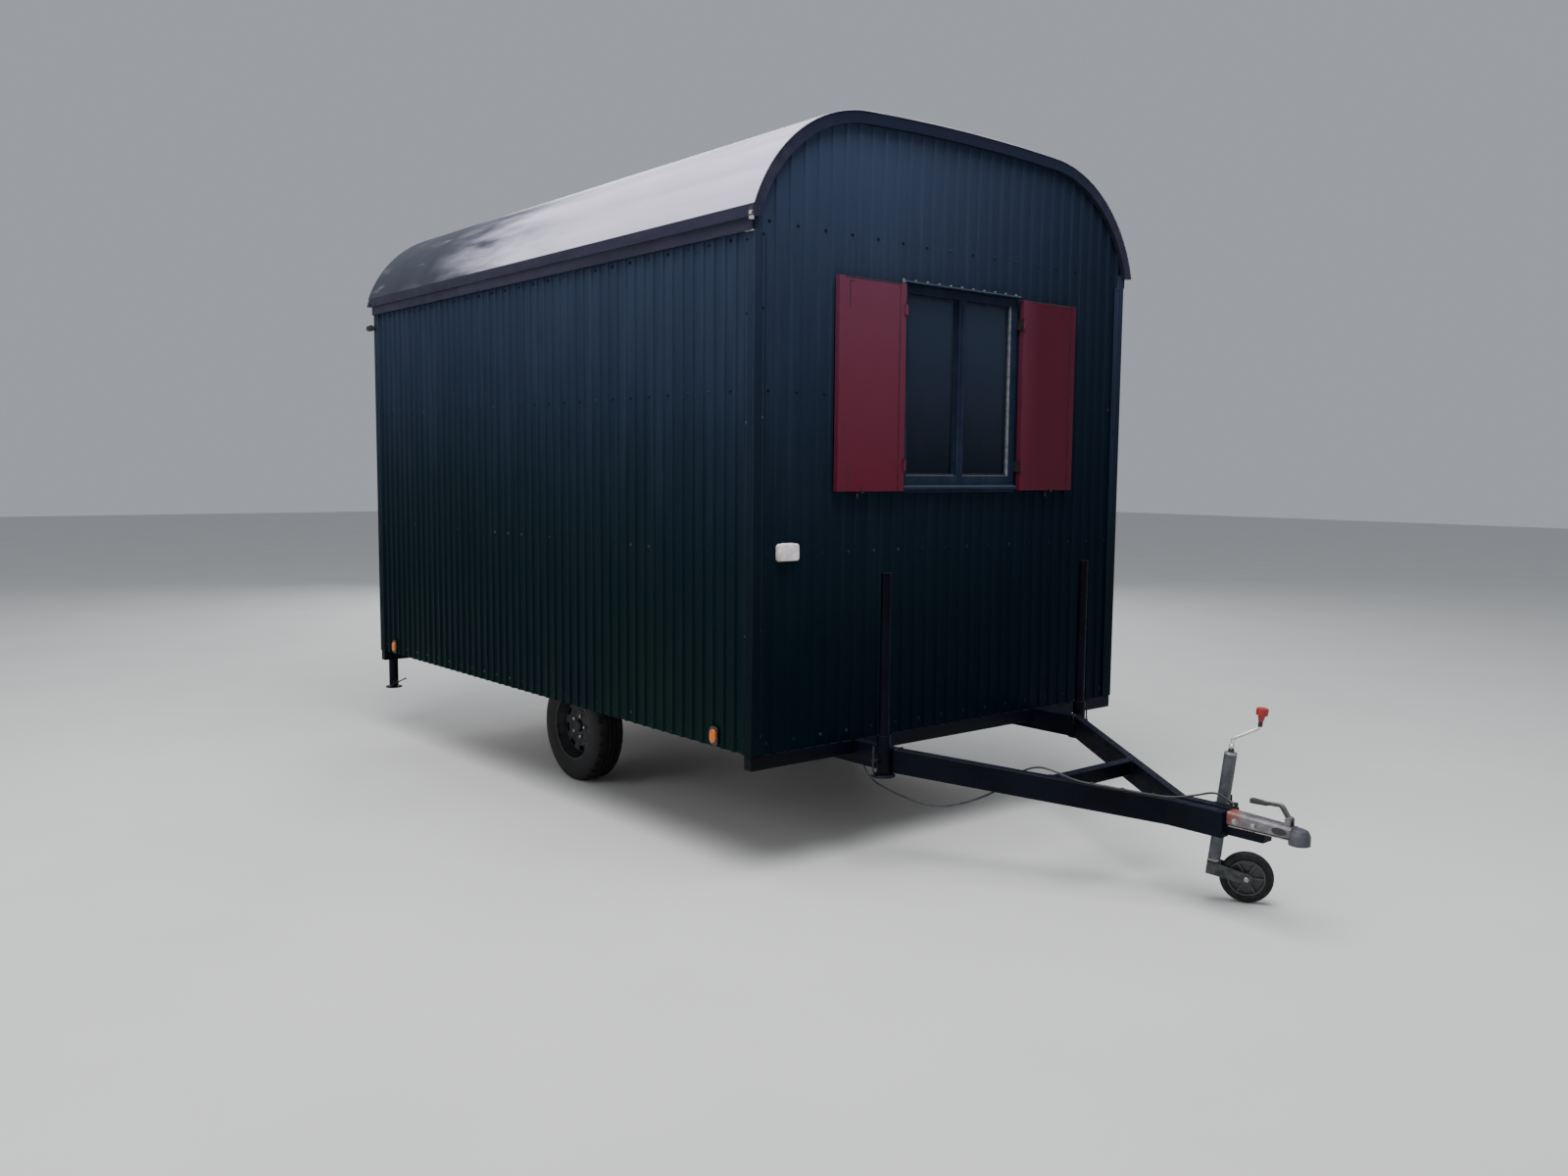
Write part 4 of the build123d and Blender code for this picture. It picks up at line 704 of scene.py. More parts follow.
crank_steel = mottled(
    "crank_steel", (0.008, 0.45, 0.70), (0.74, 0.74, 0.74), (0.38, 0.36, 0.34), (0.006, 0.25, 0.5),
    metallic=0.7,
)[0]
knob_red = mottled(
    "knob_red", (0.010, 0.45, 0.7), (0.34, 0.013, 0.015), (0.20, 0.020, 0.020), (0.006, 0.28, 0.5)
)[0]
crank_reach = 0.087
crank_path = (
    (0.0, -0.060), (0.0, 0.045), (0.0, 0.0572), (0.0075, 0.0650), (0.0800, 0.1133),
    (crank_reach, 0.1200), (crank_reach, 0.1300), (crank_reach, 0.1480),
)
crank_route = [jockey_top + trail * out + tube_up * up for out, up in crank_path]
alone(rod("crank_rod", crank_route, 0.0070, 12))
bpy.ops.object.convert(target="MESH")
fit(bpy.context.object, "crank_rod", crank_steel, "crank", "jockey_crank")
neck_profile = (
    (0.0000, 0.0090), (0.0110, 0.0090), (0.0110, 0.0190), (0.0090, 0.0210), (0.0000, 0.0210),
)
neck = turned(neck_profile, 24, jockey_top, tube_up)
fit(neck, "crank_neck", clip_black_and_shade, "crank")
boss_radius, boss_height = 0.0105, 0.0300
ball_profile = []
for turn in range(11):
    angle = turn * pi / 10
    ball_profile.append((boss_radius * sin(angle), boss_height - boss_radius * cos(angle)))
boss = turned(ball_profile, 24, jockey_top, tube_up)
fit(boss, "crank_boss", crank_steel, "crank")
knob_profile = (
    (0.0000, 0.1440), (0.0085, 0.1440), (0.0098, 0.1465), (0.0125, 0.1600), (0.0150, 0.1660),
    (0.0205, 0.1690), (0.0220, 0.1710), (0.0220, 0.1915), (0.0205, 0.1945), (0.0160, 0.1958),
    (0.0000, 0.1960),
)
grip_foot = jockey_top + trail * crank_reach
knob = turned(knob_profile, 40, grip_foot, tube_up)
fit(knob, "crank_grip", knob_red, "crank", "crank_knob")
ferrule_profile = (
    (0.0000, 0.1240), (0.0074, 0.1240), (0.0082, 0.1250), (0.0082, 0.1440), (0.0000, 0.1445),
)
ferrule = turned(ferrule_profile, 24, grip_foot, tube_up)
fit(ferrule, "crank_sleeve", clip_black_and_shade, "crank")

# Coupling: a galvanised pressing bolted over the nose, that ends in the domed socket for the ball.
# A lever on two ears locks it. The zinc has gone dull, with rust at its back edge.
ball_low, ball_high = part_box("coupling_body")
coupling_zinc, shader, place, colour = mottled(
    "coupling_zinc", (0.035, 0.35, 0.70),
    (0.20, 0.195, 0.21), (0.095, 0.090, 0.10), (0.008, 0.42, 0.68),
    metallic=0.4,
)
ball_shade = along(place, "X", ball_high.x - 0.085, ball_high.x - 0.045)
colour = coat(shader, times(ball_shade, 0.75), colour, (0.050, 0.053, 0.072))
back_rust = along(place, "X", ball_low.x + 0.075, ball_low.x + 0.005)
low_rust = along(place, "Z", ball_high.z - 0.095, ball_high.z - 0.050)
rust = times(times(back_rust, low_rust), patches(place, 0.030, 0.30, 0.55))
colour = coat(shader, rust, colour, (0.27, 0.055, 0.030))
spots = times(edges(place, 0.003), patches(place, 0.008, 0.45, 0.6))
coat(shader, spots, colour, (0.14, 0.060, 0.040))
grit(shader, place, 0.006, 0.0003, 0.3)
rounded("coupling_body", 0.0015, coupling_zinc)
ball_level = 0.35
dome_radius = 0.038
dome_height = 0.036
ball_x = ball_high.x - dome_radius
dome_profile = [(dome_radius, -0.0255), (dome_radius, 0.006)]
for degree in (14, 24, 34, 44, 54, 64, 75):
    dome_profile.append((dome_radius * cos(radians(degree)), dome_height * sin(radians(degree))))
dome_profile.append((0.0, dome_height))
dome = turned(dome_profile, 40, (ball_x, 0, ball_level), (0, 0, 1))
thicken(dome, 0.003, -1)
fit(dome, "coupling_dome", coupling_zinc)
bolt_profile = (
    (0.0000, -0.0120), (0.0140, -0.0120), (0.0140, 0.0015), (0.0100, 0.0020), (0.0100, 0.0075),
    (0.0085, 0.0090), (0.0000, 0.0090),
)
bolt_level = 0.362
cheek = 0.0305
bolts = []
for reach in (0.035, 0.110):
    for side in (-1, 1):
        spot = (ball_low.x + reach, side * cheek, bolt_level)
        bolts.append(turned(bolt_profile, 6, spot, (0, side, 0)))
fit(bolts, "coupling_bolts", nut_zinc)
flange = block((ball_low.x + 0.010, -0.0345, 0.3400), (ball_x - 0.030, 0.0345, 0.3435), 0.0012)
fit(flange, "coupling_flange", zinc)
# A flat black disc on each side of the coupling stands for its recess: painted shade.
recess_profile = ((0.0, 0.0), (0.0070, 0.0), (0.0070, 0.0008), (0.0, 0.0008))
recess_stretch = (4.2, 1, 1.8, 1)
recess_shades = []
for side in (-1, 1):
    recess_shade = turned(recess_profile, 24, (0, 0, 0), (0, side, 0))
    move = Matrix.Translation((ball_x - 0.062, side * (cheek + 0.0004), bolt_level + 0.002))
    recess_shade.data.transform(move @ Matrix.Diagonal(recess_stretch))
    recess_shades.append(recess_shade)
fit(recess_shades, "coupling_recess", clip_black_and_shade)
lever_grey, shader, place, colour = mottled(
    "lever_grey", (0.008, 0.4, 0.65),
    (0.070, 0.068, 0.066), (0.030, 0.028, 0.028), (0.006, 0.32, 0.6),
    metallic=0.6,
)
# Faces that look up are painted pale: a painted highlight from above.
coat(shader, upward(place), colour, (0.26, 0.26, 0.24))
rounded("coupling_lever", 0.0018, lever_grey)
lever_low, lever_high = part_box("coupling_lever")
grip = block(
    (lever_low.x + 0.001, -0.0122, lever_high.z - 0.0200),
    (lever_low.x + 0.070, 0.0122, lever_high.z - 0.0015),
)
choose_faces(grip, lambda middle, normal: normal.x > 0.9)
bpy.ops.transform.resize(value=(1, 0.86, 0.80))
bpy.ops.object.mode_set(mode="OBJECT")
round_edges(grip, 0.003, 3)
fit(grip, "lever_grip", clip_black_and_shade, "lever")

# Floor and walls: plywood boards over an insulated core, on the chassis. The boxes over the wheels
# are folded from galvanised sheet. Only their edges and the inside behind the window show.
ply, shader, place = new_finish("ply", (0.30, 0.21, 0.13), 0.6)
grain = patches(place, 0.02, 0.3, 0.7, 8, stretch=(1, 1, 18))
coat(shader, grain, (0.34, 0.24, 0.15), (0.23, 0.15, 0.09))
gloss(shader, grain, 0.5, 0.7)
relief(shader, grain, 0.0004, 0.4)
paint_nodes(ply, "right_wall", "left_wall", "front_wall_lower", "front_wall_sides")
paint_nodes(ply, "front_wall_gable", "rear_wall_sides", "rear_wall_gable", "roof_shell")
floor_ply, shader, place = new_finish("floor_ply", (0.12, 0.085, 0.06), 0.7)
grain = patches(place, 0.02, 0.3, 0.7, 8, stretch=(18, 1, 1))
coat(shader, grain, (0.14, 0.10, 0.07), (0.08, 0.055, 0.04))
gloss(shader, grain, 0.6, 0.85)
paint_nodes(floor_ply, "floor")
box_zinc = mottled(
    "box_zinc", (0.03, 0.3, 0.7),
    (0.25, 0.25, 0.25), (0.12, 0.115, 0.11), (0.02, 0.4, 0.65), metallic=0.7
)[0]
paint_nodes(box_zinc, "wheel_boxes")

# Ribbed sheets: coil-coated steel, folded into shallow ribs and screwed to the walls through every
# second valley. Their colour runs from near black at the foot to paler blue at the top, a painted
# sky sheen, with paler runs, a greener tint low on the long sides, painted shade towards the rear
# of the long sides and the far end of the front, and painted highlights on the front's rib edges.
sheet_green, shader, place = new_finish("sheet_green", (0.004, 0.014, 0.028), 0.4, specular=0.03)
side_low, side_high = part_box("right_cladding")
front_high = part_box("front_cladding")[1]
valley_depth = 0.008
valley_face = front_high.x - valley_depth
front_face = along(place, "X", valley_face - 0.004, valley_face - 0.001)
side_faces = along(place, "X", valley_face - 0.001, valley_face - 0.004)
height = along(place, "Z", 0.5, 2.9)
# Painted sky sheen: near black at the foot and paler blue towards the top.
sheen_and_mottle = times(height, height)
colour = coat(shader, sheen_and_mottle, (0.0002, 0.0058, 0.0094), (0.0380, 0.0520, 0.0960))
green = times(along(place, "Z", 2.0, 0.7), patches(place, 0.5, 0.3, 0.7, stretch=(1, 1, 2)))
colour = coat(shader, times(side_faces, green), colour, (0.0030, 0.0120, 0.0098))
shade = times(along(place, "X", 1.0, -1.5), side_faces)
colour = coat(shader, times(shade, 0.2), colour, (0.0020, 0.0080, 0.0100))
runs = patches(place, 0.06, 0.45, 0.8, stretch=(1, 1, 12))
colour = coat(shader, times(times(runs, sheen_and_mottle), 0.5), colour, (0.046, 0.062, 0.104))
far_shade = times(along(place, "Y", -0.5, 1.0), front_face)
colour = coat(shader, times(far_shade, 0.72), colour, (0.0004, 0.0045, 0.0105))
# Painted highlights along the rib edges of the front, stronger towards the top.
fold_highlights = times(times(edges(place, 0.004), height), front_face)
coat(shader, times(fold_highlights, 0.5), colour, (0.050, 0.070, 0.110))
gloss(shader, patches(place, 0.35, 0.3, 0.7), 0.30, 0.48)
relief(shader, patches(place, 0.4, 0.2, 0.8, stretch=(1, 1, 2)), 0.004, 0.25)
paint_nodes(sheet_green, "right_cladding", "left_cladding", "front_cladding", "rear_cladding")
# Large patches turn a few screws paler: painted glints.
screw_grey = mottled(
    "screw_grey", (0.4, 0.52, 0.66),
    (0.007, 0.012, 0.020), (0.060, 0.072, 0.095), (0.003, 0.3, 0.55),
    metallic=0.2, specular=0.1,
)[0]
rib_pitch = 0.0726
eave_row = 2.530
screw_profile = (
    (0.0000, -0.0020), (0.0075, -0.0020), (0.0078, 0.0002), (0.0070, 0.0010), (0.0045, 0.0012),
    (0.0042, 0.0045), (0.0030, 0.0058), (0.0000, 0.0060),
)
screw = turned(screw_profile, 12, (0, 0, 0), (0, 0, 1))
turn_to = {
    "front": Matrix.Rotation(pi / 2, 4, "Y"),
    "rear": Matrix.Rotation(-pi / 2, 4, "Y"),
    "right": Matrix.Rotation(pi / 2, 4, "X"),
    "left": Matrix.Rotation(-pi / 2, 4, "X"),
}


def screw_at(spot, face, size=1.0):
    """A screw at a spot on the front, the rear or a side of the hut."""
    return copied(screw, Matrix.Translation(spot) @ turn_to[face] @ Matrix.Scale(size, 4))


window_low, window_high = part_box("window_frame")
leaf_low, leaf_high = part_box("left_shutter")
door_low, door_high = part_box("door_frame")
rear_valley_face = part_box("rear_cladding")[0].x + valley_depth
side_middle = (side_low.x + side_high.x) / 2
screws = []
for row in (0.545, 1.300, 1.947, 2.595):
    for valley in range(-15, 16, 2):
        reach = valley * rib_pitch
        at_leaf_level = leaf_low.z - 0.03 < row < leaf_high.z + 0.03
        behind_leaf = at_leaf_level and abs(reach) < leaf_high.y + 0.02
        in_doorway = abs(reach) < door_high.y + 0.02 and row < door_high.z + 0.02
        if not behind_leaf:
            screws.append(screw_at((valley_face, reach, row), "front"))
        if not in_doorway:
            screws.append(screw_at((rear_valley_face, reach, row), "rear"))
    for valley in range(-49, 50, 4):
        reach = side_middle + valley * rib_pitch / 2
        level = min(row, eave_row)
        screws.append(screw_at((reach, side_low.y + valley_depth, level), "right"))
        screws.append(screw_at((reach, -side_low.y - valley_depth, level), "left"))
fit(screws, "sheet_screws", screw_grey)

# Corner trims: folded angles of the same coated sheet over each corner, screwed to both walls.
# Each has its free edges hemmed, and its top closed by a cap under the eave.
trim_navy, shader, place = new_finish("trim_navy", (0.010, 0.016, 0.034), 0.38, specular=0.04)
height = along(place, "Z", 0.5, 2.7)
# Painted sky sheen: lighter towards the top, as on the sheets, with paler runs.
sheen_and_mottle = times(height, height)
colour = coat(shader, sheen_and_mottle, (0.0006, 0.0052, 0.0080), (0.0235, 0.0325, 0.0630))
runs = patches(place, 0.05, 0.45, 0.8, stretch=(1, 1, 8))
colour = coat(shader, times(times(runs, sheen_and_mottle), 0.4), colour, (0.034, 0.048, 0.080))
# Painted highlight along the edges, stronger towards the top.
wear_and_highlight = times(edges(place, 0.003), height)
coat(shader, times(wear_and_highlight, 0.8), colour, (0.110, 0.140, 0.190))
gloss(shader, patches(place, 0.1, 0.3, 0.7), 0.30, 0.5)
grit(shader, place, 0.2, 0.002, 0.3)
rounded("corner_trims", 0.0012, trim_navy)
trim_low, trim_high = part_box("corner_trims")
trim_flange = 0.045
screw_line = 0.045
hem = 0.003
hem_bottom, hem_top = trim_low.z + 0.004, trim_high.z - 0.002
cap_bottom = trim_high.z - 0.006
cap_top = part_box("arch_trims")[0].z + 0.012
screws, hems, caps = [], [], []
for side, side_face in ((-1, "right"), (1, "left")):
    for end, way, end_face in ((trim_high.x, 1, "front"), (trim_low.x, -1, "rear")):
        for row in (0.56, 0.98, 1.40, 1.82, 2.24, 2.52):
            side_spot = (end - way * screw_line, side * trim_high.y, row)
            end_spot = (end, side * (trim_high.y - screw_line), row + 0.02)
            screws.append(screw_at(side_spot, side_face, 0.8))
            screws.append(screw_at(end_spot, end_face, 0.8))
        side_hem = end - way * trim_flange
        end_hem = side * (trim_high.y - trim_flange)
        under_corner = (end - way * 0.0010, side * (trim_high.y - 0.0010), cap_top)
        hems.append(block(
            (side_hem, side * (trim_high.y - hem), hem_bottom),
            (side_hem - way * hem, side * (trim_high.y + 0.0008), hem_top),
            0.0006,
        ))
        hems.append(block(
            (end - way * hem, end_hem, hem_bottom),
            (end + way * 0.0008, end_hem - side * hem, hem_top),
            0.0006,
        ))
        caps.append(block((end - way * 0.004, end_hem, cap_bottom), under_corner))
        caps.append(block((side_hem, side * (trim_high.y - 0.004), cap_bottom), under_corner))
fit(screws, "trim_screws", screw_grey)
fit(hems, "trim_hems", trim_navy)
fit(caps, "trim_caps", trim_navy)

# Roof: one long sheet of plain grey metal, bent over the arch from eave to eave, with a bent trim
# on each gable and two fascia strips along each eave. White caulk closes the near corner and the
# ends of the fascias.
roof_grey, shader, place = new_finish("roof_grey", (0.58, 0.57, 0.64), 0.3, 0.25)
streaks = patches(place, 0.12, 0.35, 0.7, stretch=(14, 1, 1))
colour = coat(shader, streaks, (0.56, 0.53, 0.65), (0.75, 0.71, 0.86))
# The rear of the roof is painted darker in long patches: painted dappled shadow and dark
# reflection.
dappled_shade = times(along(place, "X", -0.2, -1.3), patches(place, 0.14, 0.38, 0.56, stretch=(5, 1, 1)))
colour = coat(shader, dappled_shade, colour, (0.068, 0.073, 0.112))
dappled_shade = times(along(place, "X", -0.9, -1.9), patches(place, 0.11, 0.18, 0.42, stretch=(4, 1, 1)))
coat(shader, dappled_shade, colour, (0.016, 0.020, 0.038))
gloss(shader, patches(place, 0.4, 0.3, 0.7), 0.28, 0.42)
relief(shader, patches(place, 0.5, 0.2, 0.8, stretch=(2, 1, 1)), 0.006, 0.3)
paint_nodes(roof_grey, "roof_sheet")
fascia_navy, shader, place = new_finish("fascia_navy", (0.012, 0.013, 0.026), 0.4, specular=0.12)
runs = patches(place, 0.06, 0.4, 0.75, stretch=(8, 1, 1))
colour = coat(shader, runs, (0.0215, 0.0210, 0.0400), (0.0350, 0.0335, 0.0600))
colour = coat(shader, along(place, "Z", 2.85, 3.05), colour, (0.0105, 0.0150, 0.0330))
# A painted highlight along the edges.
coat(shader, times(edges(place, 0.003), 0.5), colour, (0.060, 0.066, 0.090))
gloss(shader, patches(place, 0.1, 0.3, 0.7), 0.30, 0.5)
grit(shader, place, 0.2, 0.002, 0.3)
rounded("arch_trims", 0.002, fascia_navy)
rounded("eave_fascias", 0.002, fascia_navy)
caulk_white, shader, place, colour = mottled(
    "caulk_white", (0.012, 0.4, 0.65), (0.48, 0.46, 0.44), (0.22, 0.21, 0.20), (0.01, 0.5, 0.75)
)
grit(shader, place, 0.004, 0.0005)
arch_low, arch_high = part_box("arch_trims")
patch = block(
    (arch_high.x - 0.014, arch_low.y + 0.002, arch_low.z - 0.012),
    (arch_high.x - 0.0005, arch_low.y + 0.016, arch_low.z + 0.020),
)
bpy.ops.object.mode_set(mode="EDIT")
bpy.ops.mesh.select_all(action="SELECT")
bpy.ops.mesh.subdivide(number_cuts=4)
bpy.ops.transform.vertex_random(offset=0.0016, seed=3)
bpy.ops.object.mode_set(mode="OBJECT")
fit(patch, "corner_caulk", caulk_white, angle=60)
fascia_low, fascia_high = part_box("eave_fascias")
fascia_ends = []
for side in (-1, 1):
    reach = side * (trim_high.y + 0.0045)
    fascia_ends.append(block(
        (fascia_high.x - 0.045, reach - 0.006, fascia_low.z - 0.001),
        (fascia_high.x + 0.0012, reach + 0.006, fascia_low.z + 0.003),
        0.0005,
    ))
fit(fascia_ends, "fascia_end_seals", caulk_white)


# Window: a dark painted frame through the wall with two fixed panes in slim sashes, bedded in white
# sealant. A folded flashing over it sheds the rain, with foam fillers in the valleys behind.
def ring_frame(low, high, width, rounding=0.0):
    """A rectangular frame between two corners, open along X, with members of that width."""
    piece = block(low, high)
    choose_faces(piece, lambda middle, normal: abs(normal.x) > 0.9)
    bpy.ops.mesh.inset(thickness=width, use_individual=True)
    bpy.ops.mesh.bridge_edge_loops()
    bpy.ops.mesh.select_all(action="SELECT")
    bpy.ops.mesh.normals_make_consistent(inside=False)
    bpy.ops.object.mode_set(mode="OBJECT")
    if rounding:
        round_edges(piece, rounding)
    return piece


window_navy, shader, place, colour = mottled(
    "window_navy", (0.08, 0.4, 0.7),
    (0.010, 0.016, 0.035), (0.018, 0.026, 0.050), (0.05, 0.28, 0.5),
    specular=0.08,
)
# Top faces painted paler: a painted sky sheen.
coat(shader, times(upward(place), 0.6), colour, (0.050, 0.058, 0.080))
sealant = mottled(
    "sealant", (0.02, 0.4, 0.7), (0.20, 0.22, 0.25), (0.085, 0.095, 0.12), (0.01, 0.4, 0.65)
)[0]
for node, width in (("window_frame", 0.003), ("drip_flashing", 0.0015), ("window_sill", 0.002)):
    rounded(node, width, window_navy)
member = 0.038
mullion = 0.044
sash_width = 0.008
pane_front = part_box("window_panes")[1].x
sash_front = pane_front + 0.012
opening = window_high.y - member
z_low, z_high = window_low.z + member, window_high.z - member
sashes, gaskets, seals = [], [], []
for side in (-1, 1):
    y_low, y_high = sorted((side * mullion / 2, side * opening))
    sashes.append(ring_frame(
        (pane_front, y_low, z_low),
        (sash_front, y_high, z_high),
        sash_width,
        0.002,
    ))
    gaskets.append(ring_frame(
        (pane_front, y_low + sash_width, z_low + sash_width),
        (pane_front + 0.004, y_high - sash_width, z_high - sash_width),
        0.003,
    ))
    bead_end = (sash_front + 0.003, y_high - 0.004, z_low + 0.003)
    seals.append(block((sash_front, y_low + 0.004, z_low), bead_end, 0.0015))
bead_end = (window_high.x - 0.004, opening, z_high)
seals.append(block((pane_front + 0.004, opening - 0.008, z_low), bead_end, 0.002))
fit(sashes, "window_sashes", window_navy)
fit(gaskets, "pane_gaskets", clip_black_and_shade)
fit(seals, "pane_sealant", sealant)
strip = block((window_high.x - 0.002, -0.004, z_low), (window_high.x + 0.003, 0.004, z_high), 0.001)
fit(strip, "mullion_strip", window_navy)
flashing_low, flashing_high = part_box("drip_flashing")
fillers = []
for valley in range(-5, 6):
    reach = valley * rib_pitch
    fillers.append(block(
        (valley_face, reach - 0.005, flashing_high.z - 0.002),
        (front_high.x + 0.003, reach + 0.005, flashing_high.z + 0.006),
        0.0025,
    ))
for reach in (-flashing_high.y, flashing_high.y):
    fillers.append(block(
        (front_high.x, reach - 0.003, flashing_low.z + 0.002),
        (front_high.x + 0.018, reach + 0.003, flashing_high.z - 0.003),
        0.001,
    ))
fit(fillers, "flashing_fillers", sealant)
sill_low, sill_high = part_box("window_sill")
step = block(
    (valley_face, sill_low.y + 0.008, sill_low.z - 0.012),
    (front_high.x + 0.012, sill_high.y - 0.008, sill_low.z),
    0.002,
)
fit(step, "sill_step", window_navy)
pane_glass, shader, place = new_finish("pane_glass", (0.010, 0.018, 0.034), 0.03, specular=0.1)
shader.inputs["Transmission Weight"].default_value = 0.15
shader.inputs["IOR"].default_value = 1.45
smears = patches(place, 0.12, 0.4, 0.8, stretch=(1, 1, 2))
height = along(place, "Z", window_low.z, window_high.z)
# The panes are painted paler towards the top: a painted sky reflection.
colour = coat(shader, height, (0.0004, 0.0030, 0.0080), (0.026, 0.038, 0.072))
coat(shader, times(times(smears, height), 0.5), colour, (0.020, 0.034, 0.050))
gloss(shader, smears, 0.02, 0.07)
paint_nodes(pane_glass, "window_panes")

# Shutters: leaves folded from sheet steel and sprayed dark red, with a stiffening band down each
# edge, hung on pins beside the window. Swung back, each is held by a catch below it.
shutter_red, shader, place = new_finish("shutter_red", (0.12, 0.020, 0.045), 0.42, specular=0.12)
height = along(place, "Z", leaf_low.z, leaf_high.z)
# Painted sheen: the leaves are lighter towards the top.
colour = coat(shader, height, (0.105, 0.0080, 0.0220), (0.128, 0.0330, 0.0600))
sheen_and_mottle = patches(place, 0.20, 0.35, 0.75, stretch=(1, 1, 2))
colour = coat(shader, times(sheen_and_mottle, 0.3), colour, (0.095, 0.022, 0.045))
# The far leaf is painted darker: painted shade.
colour = coat(shader, along(place, "Y", 0.3, 0.5), colour, (0.070, 0.0070, 0.0200))
wear_and_highlight = times(edges(place, 0.003), patches(place, 0.04, 0.45, 0.62))
coat(shader, times(wear_and_highlight, 0.5), colour, (0.20, 0.09, 0.10))
gloss(shader, patches(place, 0.15, 0.3, 0.7), 0.32, 0.52)
grit(shader, place, 0.25, 0.003, 0.3)
hinge_grey = mottled(
    "hinge_grey", (0.01, 0.4, 0.65),
    (0.016, 0.016, 0.024), (0.045, 0.030, 0.028), (0.008, 0.4, 0.65),
    metallic=0.3,
)[0]
rounded("shutter_hinges", 0.0006, hinge_grey)
groove_back = leaf_low.x + 0.021
groove_front = leaf_low.x + 0.0226
groove_half = 0.0020
band = 0.0328
notch = 0.0022
for side_name, side in (("right", -1), ("left", 1)):
    node = side_name + "_shutter"
    rounded(node, 0.0012, shutter_red)
    low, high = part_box(node)
    inner = side * (leaf_low.y + 0.005)
    outer = side * leaf_high.y
    # The strip under the top edge of each leaf, between its bands, is painted shadow; the slits and
    # the grooves by the bands are dark strips on the face.
    slits_and_shadow = [block(
        (groove_back, inner + side * 0.034, high.z - 0.0060),
        (groove_front, outer - side * 0.034, high.z - 0.0010),
    )]
    if side < 0:
        slit_y = outer + 0.060
        for start, end in ((low.z + 0.004, low.z + 0.095), (high.z - 0.125, high.z - 0.016)):
            slits_and_shadow.append(block(
                (groove_back, slit_y - notch, start),
                (groove_front, slit_y + notch, end),
            ))
        tick_top = (groove_front, slit_y + 0.022, high.z - 0.016)
        slits_and_shadow.append(block((groove_back, slit_y, high.z - 0.020), tick_top))
    for edge in (inner + side * band, outer - side * band):
        slits_and_shadow.append(block(
            (groove_back, edge - groove_half, low.z),
            (groove_front, edge + groove_half, high.z),
            0.0003,
        ))
    fit(slits_and_shadow, node + "_slits", clip_black_and_shade, node + "_leaf")
catches = []
for reach in (-0.618, 0.605):
    for half, back, front, bottom, top in (
        (0.006, valley_face, front_high.x + 0.004, -0.030, 0.004),
        (0.005, front_high.x + 0.002, front_high.x + 0.037, -0.010, -0.006),
        (0.005, front_high.x + 0.0335, front_high.x + 0.037, -0.010, 0.012),
    ):
        catches.append(block(
            (back, reach - half, leaf_low.z + bottom),
            (front, reach + half, leaf_low.z + top),
            0.001,
        ))
fit(catches, "shutter_catches", hinge_grey)

# Rear door: a flush leaf with boards up and down its outside, in a painted frame, hung on three
# butt hinges, with a lever handle on a long back plate.
door_navy, shader, place = new_finish("door_navy", (0.010, 0.018, 0.034), 0.42, specular=0.2)
# Lighter towards the top: a painted sky sheen, as on the sheets.
height = along(place, "Z", 0.5, 2.5)
colour = coat(shader, height, (0.0040, 0.0080, 0.0160), (0.0180, 0.0300, 0.0600))
runs = patches(place, 0.05, 0.45, 0.8, stretch=(1, 1, 10))
colour = coat(shader, times(runs, 0.3), colour, (0.026, 0.036, 0.060))
coat(shader, times(edges(place, 0.003), 0.25), colour, (0.09, 0.09, 0.10))
gloss(shader, patches(place, 0.08, 0.3, 0.7), 0.34, 0.55)
relief(shader, patches(place, 0.01, 0.3, 0.7, 6, stretch=(1, 1, 30)), 0.0004, 0.5)
rounded("door_frame", 0.003, door_navy)
rounded("door", 0.003, door_navy)
low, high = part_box("door")
board_count = 8
board_width = (high.y - low.y - 0.010) / board_count
boards = []
for board in range(board_count):
    start = low.y + 0.005 + board * board_width
    boards.append(block(
        (low.x - 0.006, start + 0.0015, low.z + 0.010),
        (low.x + 0.002, start + board_width - 0.0015, high.z - 0.010),
        0.002,
    ))
boards.append(block(
    (low.x - 0.010, low.y + 0.010, low.z + 0.030),
    (low.x - 0.004, high.y - 0.010, low.z + 0.090),
    0.002,
))
fit(boards, "door_boards", door_navy)
hinge_profile = mirrored((
    (0.0000, -0.0500), (0.0050, -0.0500), (0.0065, -0.0470), (0.0065, -0.0170), (0.0058, -0.0165),
    (0.0065, -0.0160),
))
barrels = []
for level in (0.72, 1.45, 2.20):
    barrels.append(turned(hinge_profile, 20, (door_low.x - 0.003, low.y - 0.002, level), (0, 0, 1)))
fit(barrels, "door_hinges", nut_zinc)
handle_steel = mottled(
    "handle_steel", (0.01, 0.4, 0.65), (0.52, 0.51, 0.50), (0.34, 0.33, 0.32), (0.006, 0.22, 0.42),
    metallic=0.9,
)[0]
rounded("door_handle", 0.002, handle_steel, 3)
handle_low, handle_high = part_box("door_handle")
lock_profile = (
    (0.0000, 0.0), (0.0090, 0.0), (0.0090, 0.0030), (0.0080, 0.0040), (0.0050, 0.0045),
    (0.0045, 0.0100), (0.0000, 0.0105),
)
lock_spot = (handle_high.x - 0.005, handle_high.y - 0.018, handle_low.z + 0.045)
fit(turned(lock_profile, 24, lock_spot, (-1, 0, 0)), "door_lock", nut_zinc)

